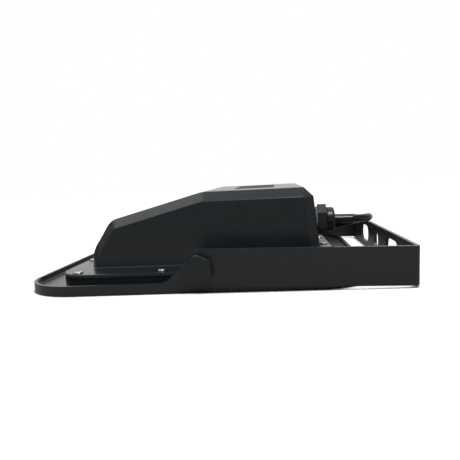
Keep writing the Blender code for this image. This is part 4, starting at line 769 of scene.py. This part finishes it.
@dataclass
class Connector:
    """The waterproof connector on the lead's end, which points to -X."""

    radius: float = 0.0065  # The body's grip, and the strain relief where the lead enters.
    relief_end: float = 0.0042
    relief_length: float = 0.014
    relief_rings: int = 4
    # Where a ring ends and its groove starts and ends, as shares of the strain relief.
    ring_shares: tuple[float, float, float] = (0.13, 0.16, 0.23)
    ring_depth: float = 0.0006
    length: float = 0.026  # The body behind the nose.
    chamfer: float = 0.0007
    nose_radius: float = 0.0052
    nose_length: float = 0.012
    socket_depth: float = 0.0115
    shell: float = 0.0012  # The nose's wall, and the chamfer of its rim.
    lip: float = 0.0003
    collar_radius: float = 0.0075
    collar_wall: float = 0.0016
    collar_length: float = 0.011
    collar_edge: float = 0.0005
    ribs: int = 12  # The collar's grips, with the radius of the grooves between them.
    groove: float = 0.0008
    groove_start: float = 0.0012  # Behind the collar's edge, and the groove's axis outside the collar.
    groove_proud: float = 0.0001
    disc: float = 0.0016  # The contacts' moulded disc.
    disc_edge: float = 0.0002
    pin: float = 0.0009  # A contact's radius.
    pin_nose: float = 0.0004
    pin_offset: float = 0.0022

    def place(self) -> Matrix:
        """Where the connector's own Z axis starts and points.

        Returns:
            The move from the origin to there.
        """
        low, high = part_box("plug_body")
        start = Vector((high[0], (low[1] + high[1]) / 2, (low[2] + high[2]) / 2))
        return Matrix.Translation(start) @ Matrix.Rotation(-QUARTER, 4, "Y")

    def body(self) -> bpy.types.Object:
        """The body with its ringed strain relief, its grip and its hollow nose.

        Returns:
            The finished body.
        """
        start, end = self.relief_length, self.relief_length + self.length
        nose = end + self.nose_length
        bore = self.nose_radius - self.shell
        top, down, up = (share * start for share in self.ring_shares)
        rings = []
        for step in range(self.relief_rings):
            share = step / self.relief_rings
            height = start * (1 - share)
            radius = self.radius + (self.relief_end - self.radius) * share
            rings += [(radius, height), (radius, height - top), (radius - self.ring_depth, height - down),
                      (radius - self.ring_depth, height - up)]
        points = [(0, nose - self.socket_depth), (bore, nose - self.socket_depth), (bore, nose - self.lip),
                  (bore + self.lip, nose), (self.nose_radius - self.lip, nose), (self.nose_radius, nose - self.lip),
                  (self.nose_radius, end), (self.radius - self.chamfer, end), (self.radius, end - self.chamfer),
                  *rings, (self.relief_end, 0), (0, 0)]
        work = Work.profile("connector_body", points).smooth(40).set_place(self.place())
        return work.finish(RUBBER, Body.HEAD, "rubber_black", "plug_body")

    def collar(self) -> bpy.types.Object:
        """The turning collar, with a grip of rounded ribs.

        Returns:
            The finished collar.
        """
        start = self.relief_length + self.length + GAP
        end = start + self.collar_length
        inner = self.collar_radius - self.collar_wall
        edge = self.collar_edge
        work = Work.profile("connector_collar", [
            (inner, start), (self.collar_radius - edge, start), (self.collar_radius, start + edge),
            (self.collar_radius, end - edge), (self.collar_radius - edge, end), (inner + edge, end),
            (inner, end - edge)], 96)
        groove = Work.cylinder("groove", self.groove, start + self.groove_start, end + self.groove, 16)
        groove.set_place(Matrix.Translation((self.collar_radius + self.groove_proud, 0, 0)))
        for step in range(self.ribs):
            cut = groove.copy("groove_copy")
            cut.set_place(Matrix.Rotation(2 * math.pi * step / self.ribs, 4, "Z"))
            work.boolean(cut)
        groove.drop()
        work.smooth(40).set_place(self.place())
        return work.finish(NYLON, Body.COLLAR, "nylon_black", "plug_collar")

    def pins(self) -> bpy.types.Object:
        """The two round-nosed contact pins on their moulded disc.

        Returns:
            The finished contacts.
        """
        low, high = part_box("plug_insert")
        floor = self.relief_length + self.length + self.nose_length - self.socket_depth + GAP
        work = Work.cylinder("connector_pins", self.nose_radius - self.shell - GAP, floor, floor + self.disc, 32)
        work.soften(self.disc_edge, 2)
        pin = Work.cylinder("pin", self.pin, floor + self.disc / 2, floor + high[0] - low[0], 20)
        pin.soften(self.pin_nose, 3)
        for side in (1, -1):
            contact = pin.copy("contact").set_place(Matrix.Translation((0, self.pin_offset * side, 0)))
            work.join(contact)
        pin.drop()
        return work.smooth().set_place(self.place()).finish(BRASS, Body.HEAD, "brass", "plug_insert")

    def build(self) -> list[bpy.types.Object]:
        """Make the connector's pieces."""
        return [self.body(), self.collar(), self.pins()]


@dataclass
class Castings:
    """The two painted castings and their sealing frame."""

    flange_top: float = 0.0116  # Height that the cover's walls rise from.
    foot_fillet: float = 0.0011
    foot_angle: float = 0.5  # The least angle between wall and flange, in radians.
    edge: float = 0.00035  # What the coating leaves on the tray's edges.

    def cover(self) -> None:
        """The battery cover, with a fillet at its foot."""
        work = Work.node_copy("cover_casting", "battery_cover", join_flat=False)

        def at_foot(edge: bmesh.types.BMEdge) -> bool:
            """Whether an edge lies where a wall rises from the flange."""
            level = all(abs(vert.co.z - self.flange_top) < 5 * TOLERANCE for vert in edge.verts)
            return (level and len(edge.link_faces) == 2 and not edge.is_convex
                    and edge.calc_face_angle() > self.foot_angle)

        work.pick(Domain.EDGES, at_foot)
        bpy.ops.mesh.bevel(offset=self.foot_fillet, segments=3, affect="EDGES")
        work.leave().smooth(40, weighted=True).finish(CASTING_COAT, Body.HEAD, "cast_black", "battery_cover")

    def tray(self) -> None:
        """The back tray with its rim, pad and ears."""
        work = Work.node_copy("tray_casting", "rear_tray").soften(self.edge, 2).smooth(40, weighted=True)
        work.finish(CASTING_COAT, Body.HEAD, "cast_black", "rear_tray")

    def build(self) -> None:
        """Make the castings and dress what lies between and on them."""
        self.tray()
        self.cover()
        keep_nodes(RUBBER, "cover_gasket")
        keep_nodes(LABEL_FILM, "label_plate")


@dataclass
class CoverScrews:
    """The pan-head screws in the cover's counterbores."""

    head_radius: float = 0.003
    head_height: float = 0.0021
    crown: float = 0.0009  # Rounding of the head's rim.
    shank_radius: float = 0.0015
    slot_width: float = 0.0006
    slot_length: float = 0.0034
    slot_depth: float = 0.0012
    # What is left of the recess's length, width and height at its floor.
    slot_floor: tuple[float, float, float] = (0.45, 0.8, 1.0)
    turn_step: float = 1.13  # How far each screw stopped turning after the one before it, in radians.
    count: int = 14

    def pattern(self, low: float, high: float) -> Work:
        """Model one screw about its own axis.

        Args:
            low: Height of its shank's end.
            high: Height of its head's top.

        Returns:
            The screw.
        """
        seat = high - self.head_height
        work = Work.cylinder("screw_pattern", self.head_radius, seat, high, 40)
        work.pick(Domain.EDGES, lambda edge: all(vert.co.z > high - TOLERANCE for vert in edge.verts))
        bpy.ops.mesh.bevel(offset=self.crown, segments=4, affect="EDGES")
        work.leave()
        work.pick(Domain.FACES, lambda face: face.normal.z < DOWNWARD)
        bpy.ops.mesh.inset(thickness=self.head_radius - self.shank_radius)
        bpy.ops.mesh.extrude_region_move(TRANSFORM_OT_translate={"value": (0, 0, low - seat)})
        work.leave()
        for angle in (0, QUARTER):
            arm = Work.block("recess", (self.slot_length, self.slot_width, self.slot_depth * 2), (0, 0, high))
            arm.pick(Domain.VERTS, lambda vert: vert.co.z < high)
            bpy.ops.transform.resize(value=self.slot_floor)
            arm.leave().set_place(Matrix.Rotation(angle, 4, "Z"))
            work.boolean(arm)
        return work.smooth(30)

    def build(self) -> None:
        """Make one screw and set a copy of it at each place."""
        low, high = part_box("cover_screw_01")
        pattern = self.pattern(low[2], high[2])
        for index in range(1, self.count + 1):
            node = f"cover_screw_{index:02d}"
            middle = middle_of(node)
            move = Matrix.Translation((middle.x, middle.y, 0)) @ Matrix.Rotation(self.turn_step * index, 4, "Z")
            pattern.copy(f"pan_screw_{index:02d}").set_place(move).finish(
                PLATED_STEEL, Body.HEAD, "screw_steel", node)
        pattern.drop()


@dataclass
class Pivots:
    """The pivot bolts, discs, washers and nuts."""

    flats: float = 0.017  # The hexagon across its flats.
    head: float = 0.0064
    turn: float = math.radians(5.5)  # The bolts' hexagons on their axis.
    radius: float = 0.005  # The bolt's.
    edge: float = 0.001  # The chamfer that rounds the hexagon's corners.
    head_edge: float = 0.0004
    nut_edge: float = 0.00015
    pitch: float = 0.0015
    # Where crest, flank and root end, as shares of the pitch.
    thread_shares: tuple[float, float, float] = (0.25, 0.5, 0.75)
    thread_depth: float = 0.4  # As a share of the pitch.
    plain: float = 0.004  # The shank behind the head that has no thread.
    tip: float = 0.0006  # Chamfer of the shank's end.
    hidden: float = 0.6  # How far under the head's face the shank starts, as a share of the head's height.
    overrun: float = 0.001  # How far a cutting work reaches past an end.

    def hexagon(self, name: str, start: float, end: float, both: bool = False) -> Work:
        """Model a hexagon along Z whose corners are turned round at its outer face.

        Args:
            name: The work's name.
            start: Height of its inner face.
            end: Height of its outer face.
            both: Whether the corners are turned round at both faces.

        Returns:
            The hexagon.
        """
        corner = self.flats / math.sqrt(3)
        work = Work.cylinder(name, corner, start, end, 6)
        cone = Work.cylinder("corner_cut", corner, start - (0 if both else self.overrun), end, 72)
        rims = (start, end) if both else (end,)
        cone.pick(Domain.EDGES, lambda edge: any(all(abs(vert.co.z - rim) < TOLERANCE for vert in edge.verts)
                                                 for rim in rims))
        bpy.ops.mesh.bevel(offset=self.edge, segments=1, affect="EDGES")
        cone.leave()
        return work.boolean(cone, "INTERSECT")

    def side(self, side: int) -> Matrix:
        """The pivot axis at one side, with +Z outwards.

        Args:
            side: -1 for the near side and 1 for the far one.

        Returns:
            The move from the origin to there.
        """
        low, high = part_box("pivot_bolt_near")
        pivot = Matrix.Translation(((low[0] + high[0]) / 2, 0, (low[2] + high[2]) / 2))
        near = Matrix.Rotation(QUARTER, 4, "X")
        return pivot @ (near if side < 0 else Matrix.Rotation(math.pi, 4, "Z") @ near)

    def bolt(self) -> Work:
        """Model the bolt with its chamfered head and threaded shank, about its own axis.

        Returns:
            The bolt.
        """
        low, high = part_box("pivot_bolt_near")
        outer, inner = -low[1], -high[1]
        work = self.hexagon("bolt_pattern", outer - self.head, outer)
        work.set_place(Matrix.Rotation(self.turn, 4, "Z")).soften(self.head_edge, 3)
        crest, root, rise = (share * self.pitch for share in self.thread_shares)
        core = self.radius - self.pitch * self.thread_depth
        rings = []
        height = outer - self.head - self.plain
        while height > inner + self.pitch:
            rings += [(self.radius, height), (self.radius, height - crest), (core, height - root),
                      (core, height - rise)]
            height -= self.pitch
        top = outer - self.head * self.hidden
        shank = Work.profile("shank", [(0, top), (self.radius, top), *rings, (self.radius - self.tip, inner),
                                       (0, inner)], 32)
        return work.join(shank).smooth(30)

    def nut(self) -> Work:
        """Model the hexagon nut, chamfered at both ends and bored, about its own axis.

        Returns:
            The nut.
        """
        low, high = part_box("pivot_nut_near")
        work = self.hexagon("nut_pattern", -high[1], -low[1], both=True)
        work.boolean(Work.cylinder("bore", self.radius + GAP, -high[1] - self.overrun, -low[1] + self.overrun, 32))
        return work.soften(self.nut_edge, 2).smooth(30)

    def build(self) -> None:
        """Make one bolt and one nut, and set a copy of each at both sides."""
        bolt, nut = self.bolt(), self.nut()
        for side, name in ((-1, "near"), (1, "far")):
            place = self.side(side)
            bolt.copy("pivot_hex_bolt_" + name).set_place(place).finish(
                BOLT_COAT, Body.HEAD, "steel_black", "pivot_bolt_" + name)
            nut.copy("pivot_hex_nut_" + name).set_place(place).finish(
                PLATED_STEEL, Body.HEAD, "screw_steel", "pivot_nut_" + name)
            keep_nodes(NYLON, "friction_disc_" + name)
            keep_nodes(PLATED_STEEL, "spring_washer_" + name)
        bolt.drop()
        nut.drop()


@dataclass
class Yoke:
    """The folding yoke of painted steel strip."""

    edge: float = 0.0009  # What stamping and coating leave on its edges.

    def build(self) -> None:
        """Make the yoke with soft edges."""
        work = Work.node_copy("yoke_strip", "yoke").soften(self.edge, 4).smooth(35, weighted=True)
        work.finish(YOKE_COAT, Body.YOKE, "steel_black", "yoke")


@dataclass
class Gland:
    """The cable gland: washer, hexagon body, bush and dome nut, along +X from its seat."""

    seat: tuple[float, float, float] = (0.072905, -0.0674, 0.0393)  # Where the gland's axis meets the cover.
    washer_radius: float = 0.0097
    washer: float = 0.0012
    flats: float = 0.0197  # The hexagon across its flats.
    hexagon: float = 0.0063
    edge: float = 0.0003
    thread: float = 0.0079
    dome_radius: float = 0.009
    dome_inner: float = 0.0075
    dome_start: float = 0.0084  # From the seat, as its end.
    dome_end: float = 0.014
    dome_round: float = 0.0022
    dome_wall: float = 0.0013
    lip: float = 0.0004  # Chamfer of the dome nut's inner edges.
    bore: float = 0.00325  # The hole for the lead.
    dot: float = 0.0004  # The mould's vent mark on a flat, and how far in its tool reaches.
    dot_depth: float = 0.0012

    def place(self) -> Matrix:
        """The gland's own Z axis, laid along +X from the seat."""
        return Matrix.Translation(self.seat) @ Matrix.Rotation(QUARTER, 4, "Y")

    def ring(self) -> None:
        """The squeezed sealing washer, with a round edge."""
        bulge = self.washer / 3
        start, end = GAP, GAP + self.washer
        points = [(self.thread + GAP, start), (self.washer_radius - bulge, start),
                  (self.washer_radius, start + bulge), (self.washer_radius, end - bulge),
                  (self.washer_radius - bulge, end), (self.thread + GAP, end)]
        work = Work.profile("gland_seal", points, 64).smooth(50).set_place(self.place())
        work.finish(SEAL_RUBBER, Body.HEAD, "seal_blue", "gland_washer")

    def body(self) -> None:
        """The hexagon with its soft edges and the mark on its near flat, and the thread inside."""
        work = Work.node_copy("gland_hexagon", "gland_body").soften(self.edge, 3)
        middle = 2 * GAP + self.washer + self.hexagon / 2
        dot = Work.cylinder("dot", self.dot, 0, 0.002, 16).set_place(Matrix.Rotation(QUARTER, 4, "X"))
        dot.set_place(Matrix.Translation(Vector(self.seat) + Vector((middle, self.dot_depth - self.flats / 2, 0))))
        work.boolean(dot).smooth(35, weighted=True).finish(NYLON, Body.HEAD, "nylon_black", "gland_body")

    def dome(self) -> None:
        """The dome nut: a round grip that closes on the lead in a soft shoulder."""
        start, end, radius, curve, lip = self.dome_start, self.dome_end, self.dome_radius, self.dome_round, self.lip
        steps = 6
        angles = [QUARTER * (1 - step / steps) for step in range(steps + 1)]
        shoulder = [(radius - curve + curve * math.cos(angle), end - curve + curve * math.sin(angle))
                    for angle in angles]
        wall = end - self.dome_wall
        points = [(self.bore, wall), (self.bore, end - lip), (self.bore + lip, end), *shoulder,
                  (radius, start + lip), (radius - lip, start), (self.dome_inner, start), (self.dome_inner, wall)]
        work = Work.profile("gland_dome", points, 72).smooth(35).set_place(self.place())
        work.finish(NYLON, Body.HEAD, "nylon_black", "gland_dome_nut")

    def build(self) -> None:
        """Make the gland's pieces."""
        self.ring()
        self.body()
        self.dome()
        keep_nodes(NYLON, "gland_locknut")
        keep_nodes(RUBBER, "gland_bush")


@dataclass
class Front:
    """The light's front: glass, its seal, and the LED board behind it."""

    glass_edge: float = 0.0006
    panel: float = 0.0012  # The LED board's plate.
    panel_edge: float = 0.0002
    chip: float = 0.003  # An LED's case.
    chip_height: float = 0.0008
    chip_wall: float = 0.1  # The wall round its window, as a share of its width.
    window: float = 0.0002  # How far the window lies behind the case's face.
    columns: int = 8
    rows: int = 9
    pitch_x: float = 0.021471
    pitch_y: float = 0.021525

    def glass(self) -> None:
        """The pane, with ground edges."""
        work = Work.node_copy("front_pane", "front_glass").soften(self.glass_edge, 2).smooth(30, weighted=True)
        work.finish(GLASS, Body.HEAD, "clear_glass", "front_glass")

    def chips(self, middle: Vector, face: float) -> list[Work]:
        """Model the LEDs: white cases with a phosphor window, hanging from the board's face.

        Args:
            middle: The board's middle.
            face: Height of the board's lower face.

        Returns:
            One work for each LED.
        """
        case = Work.block("led_case", (self.chip, self.chip, self.chip_height), (0, 0, face - self.chip_height / 2))
        case.pick(Domain.FACES, lambda part: part.normal.z < DOWNWARD)
        bpy.ops.mesh.inset(thickness=self.chip * self.chip_wall)
        bpy.ops.mesh.extrude_region_move(TRANSFORM_OT_translate={"value": (0, 0, self.window)})
        case.leave()
        case.piece.data.materials.append(LED_CASE.material())
        case.piece.data.materials.append(LED_PHOSPHOR.material())
        behind = face - self.chip_height + self.window / 2
        for part in case.piece.data.polygons:
            part.material_index = int(part.normal.z < DOWNWARD and part.center.z > behind)
        copies = []
        for column in range(self.columns):
            for row in range(self.rows):
                x = middle.x + (column - (self.columns - 1) / 2) * self.pitch_x
                y = middle.y + (row - (self.rows - 1) / 2) * self.pitch_y
                copies.append(case.copy("led_case_copy").set_place(Matrix.Translation((x, y, 0))))
        case.drop()
        return copies

    def board(self) -> None:
        """The LED board, its thin plate with all its LEDs."""
        low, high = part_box("led_board")
        face = high[2] - self.panel
        middle = middle_of("led_board")
        size = (high[0] - low[0], high[1] - low[1], self.panel)
        plate = Work.block("led_panel", size, (middle.x, middle.y, face + self.panel / 2)).soften(self.panel_edge, 1)
        plate.piece.data.materials.append(LED_BOARD_MASK.material())
        plate.join(*self.chips(middle, face))
        plate.finish(None, Body.HEAD, "board_white", "led_board")

    def build(self) -> None:
        """Make the front's pieces."""
        self.glass()
        self.board()
        keep_nodes(GREY_SILICONE, "glass_seal")
        keep_nodes(PLATED_STEEL, *[f"led_board_screw_{index:02d}" for index in range(1, 5)])


class Insides:
    """What the cover hides: the battery, the control board and their wires."""

    def build(self) -> None:
        """Give the inner nodes their finishes."""
        keep_nodes(CRADLE_ABS, "battery_cradle")
        keep_nodes(CELL_WRAP, *[f"battery_cell_{index:02d}" for index in range(1, 5)])
        keep_nodes(PLATED_STEEL, "battery_strap", "control_board_screw_01", "control_board_screw_02")
        keep_nodes(CONTROL_BOARD_MASK, "control_board")
        keep_nodes(FERRITE, "board_inductor")
        keep_nodes(CAPACITOR_SLEEVE, "board_capacitor")
        keep_nodes(TERMINAL_NYLON, "terminal_block")
        keep_nodes(CORD_SKIN, "supply_wires", "led_wires")


@dataclass(frozen=True)
class Softbox:
    """A rectangular area lamp that looks at the object."""

    name: str
    place: tuple[float, float, float]
    size: tuple[float, float]
    power: float  # In watts.
    target: tuple[float, float, float] = (0.0, 0.0, 0.02)

    def build(self) -> None:
        """Hang the lamp."""
        data = bpy.data.lights.new(self.name, "AREA")
        data.shape = "RECTANGLE"
        data.size, data.size_y = self.size
        data.energy = self.power
        lamp = add_object(self.name, data)
        aim = Vector(self.target) - Vector(self.place)
        lamp.matrix_world = Matrix.Translation(self.place) @ aim.to_track_quat("-Z", "Y").to_matrix().to_4x4()


@dataclass
class Studio:
    """Floor, backdrop light and lamps."""

    floor_size: float = 6.0
    floor_drop: float = 0.0002
    floor_colour: str = "#a8a8a8"
    floor_glow: float = 0.86  # Share of white that the floor shows by itself, so that its shadow stays faint.
    contact: float = 0.005  # How far from the object its painted contact shadow reaches.
    # How open the floor is to the sky where the painted contact shadow is full and where it ends.
    contact_open: tuple[float, float] = (0.5, 0.72)
    floor_gloss: float = 0.6  # The floor's own light in reflections, and between which places along Y it rises.
    gloss_depth: tuple[float, float] = (0.15, 0.6)
    front_level: float = 0.2  # How bright the camera's side of the room is against the white sweep.
    sweep_way: tuple[float, float, float] = (0.0, 0.8, 0.45)  # Towards the white sweep, behind and above the object.
    sweep_edge: float = 0.85  # How far towards it a way has to point to be full white.
    side_falloff: float = 0.25  # How much the sweep dims towards both sides.
    softboxes: tuple[Softbox, ...] = (Softbox("overhead_softbox", (-0.65, 0.0, 1.2), (1.2, 0.8), 3.4),
                                      Softbox("front_softbox", (0.35, -0.6, 1.15), (0.7, 0.35), 9.6))

    @staticmethod
    def direct(tree: bpy.types.NodeTree) -> tuple[bpy.types.Node, bpy.types.NodeSocket]:
        """Tell rays that see the surface straight or through glass from all others.

        Args:
            tree: The node tree that gets the nodes.

        Returns:
            The Light Path node, and a socket that is 1 for such rays.
        """
        path = add_node(tree, "ShaderNodeLightPath")
        seen = add_node(tree, "ShaderNodeMath", settings={"operation": "MAXIMUM"},
                        links={0: path.outputs["Is Camera Ray"], 1: path.outputs["Is Transmission Ray"]})
        return path, seen.outputs[0]

    def floor(self) -> None:
        """A plain white floor that takes a faint lit shadow and a painted contact shadow, and dims in reflections
        towards the camera's side.
        """
        Work.clear()
        bpy.ops.mesh.primitive_plane_add(size=self.floor_size, location=(0, 0, -self.floor_drop))
        floor = bpy.context.object
        floor.name = "studio_floor"
        # Matt seamless paper: even and pale, with no gloss of its own.
        material, tree, shader, place = start_material("white_paper_sweep", Base_Color=linear(self.floor_colour),
                                                       Roughness=0.9, Specular_IOR_Level=0.0)
        path, seen = self.direct(tree)
        depth = add_node(tree, "ShaderNodeSeparateXYZ", links={"Vector": place}).outputs["Y"]
        behind = add_node(tree, "ShaderNodeMapRange", settings=SMOOTHSTEP, links={"Value": depth},
                          values={"From Min": self.gloss_depth[0], "From Max": self.gloss_depth[1],
                                  "To Max": self.floor_gloss}).outputs["Result"]
        # Painted contact shadow: ambient occlusion darkens the floor's own glow next to the object.
        open_sky = add_node(tree, "ShaderNodeAmbientOcclusion", settings={"samples": 8},
                            values={"Distance": self.contact}).outputs["AO"]
        contact = add_node(tree, "ShaderNodeMapRange", settings=SMOOTHSTEP, links={"Value": open_sky},
                           values={"From Min": self.contact_open[0], "From Max": self.contact_open[1],
                                   "To Max": self.floor_glow}).outputs["Result"]
        plain = add_node(tree, "ShaderNodeMath", settings={"operation": "MULTIPLY"}, links={0: seen, 1: contact})
        gloss = add_node(tree, "ShaderNodeMath", settings={"operation": "MULTIPLY"},
                         links={0: path.outputs["Is Glossy Ray"], 1: behind})
        glow = add_node(tree, "ShaderNodeMath", settings={"operation": "MAXIMUM"},
                        links={0: plain.outputs[0], 1: gloss.outputs[0]})
        light = add_node(tree, "ShaderNodeEmission", links={"Strength": glow.outputs[0]})
        both = add_node(tree, "ShaderNodeAddShader", links={0: shader.outputs[0], 1: light.outputs[0]})
        tree.links.new(both.outputs[0], tree.nodes["Material Output"].inputs["Surface"])
        floor.data.materials.append(material)

    def world(self) -> None:
        """A white sweep behind and above the object, which dims towards the camera's side of the room."""
        world = bpy.data.worlds.new("studio")
        world.use_nodes = True
        tree = world.node_tree
        shader = tree.nodes["Background"]
        _, seen = self.direct(tree)
        way = add_node(tree, "ShaderNodeTexCoord").outputs["Generated"]
        sweep = add_node(tree, "ShaderNodeVectorMath", settings={"operation": "DOT_PRODUCT"},
                         values={1: self.sweep_way}, links={0: way})
        across = add_node(tree, "ShaderNodeSeparateXYZ", links={"Vector": way}).outputs["X"]
        aside = add_node(tree, "ShaderNodeMath", settings={"operation": "ABSOLUTE"}, links={0: across})
        narrowed = add_node(tree, "ShaderNodeMath", settings={"operation": "MULTIPLY_ADD"},
                            values={1: -self.side_falloff}, links={0: aside.outputs[0], 2: sweep.outputs["Value"]})
        room = add_node(tree, "ShaderNodeMapRange", settings=SMOOTHSTEP, links={"Value": narrowed.outputs[0]},
                        values={"From Max": self.sweep_edge, "To Min": self.front_level})
        strength = add_node(tree, "ShaderNodeMath", settings={"operation": "MAXIMUM"},
                            links={0: seen, 1: room.outputs["Result"]})
        shader.inputs["Color"].default_value = (1, 1, 1, 1)
        tree.links.new(strength.outputs[0], shader.inputs["Strength"])
        bpy.context.scene.world = world

    def build(self) -> None:
        """Make the floor, the world and the lamps, and set the view."""
        self.floor()
        self.world()
        for softbox in self.softboxes:
            softbox.build()
        bpy.context.scene.view_settings.view_transform = "Standard"


def main() -> None:
    """Build the camera and the pieces in order, and report each."""
    logging.basicConfig(level=logging.INFO, format="%(message)s")
    StudioCamera().build()
    lead = Lead()
    cord = lead.build()
    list(Connector().build())
    for assembly in (Castings(), CoverScrews(), Yoke(), Pivots(), Gland(), Front(), Insides(), Studio()):
        assembly.build()


if __name__ == "__main__":
    main()
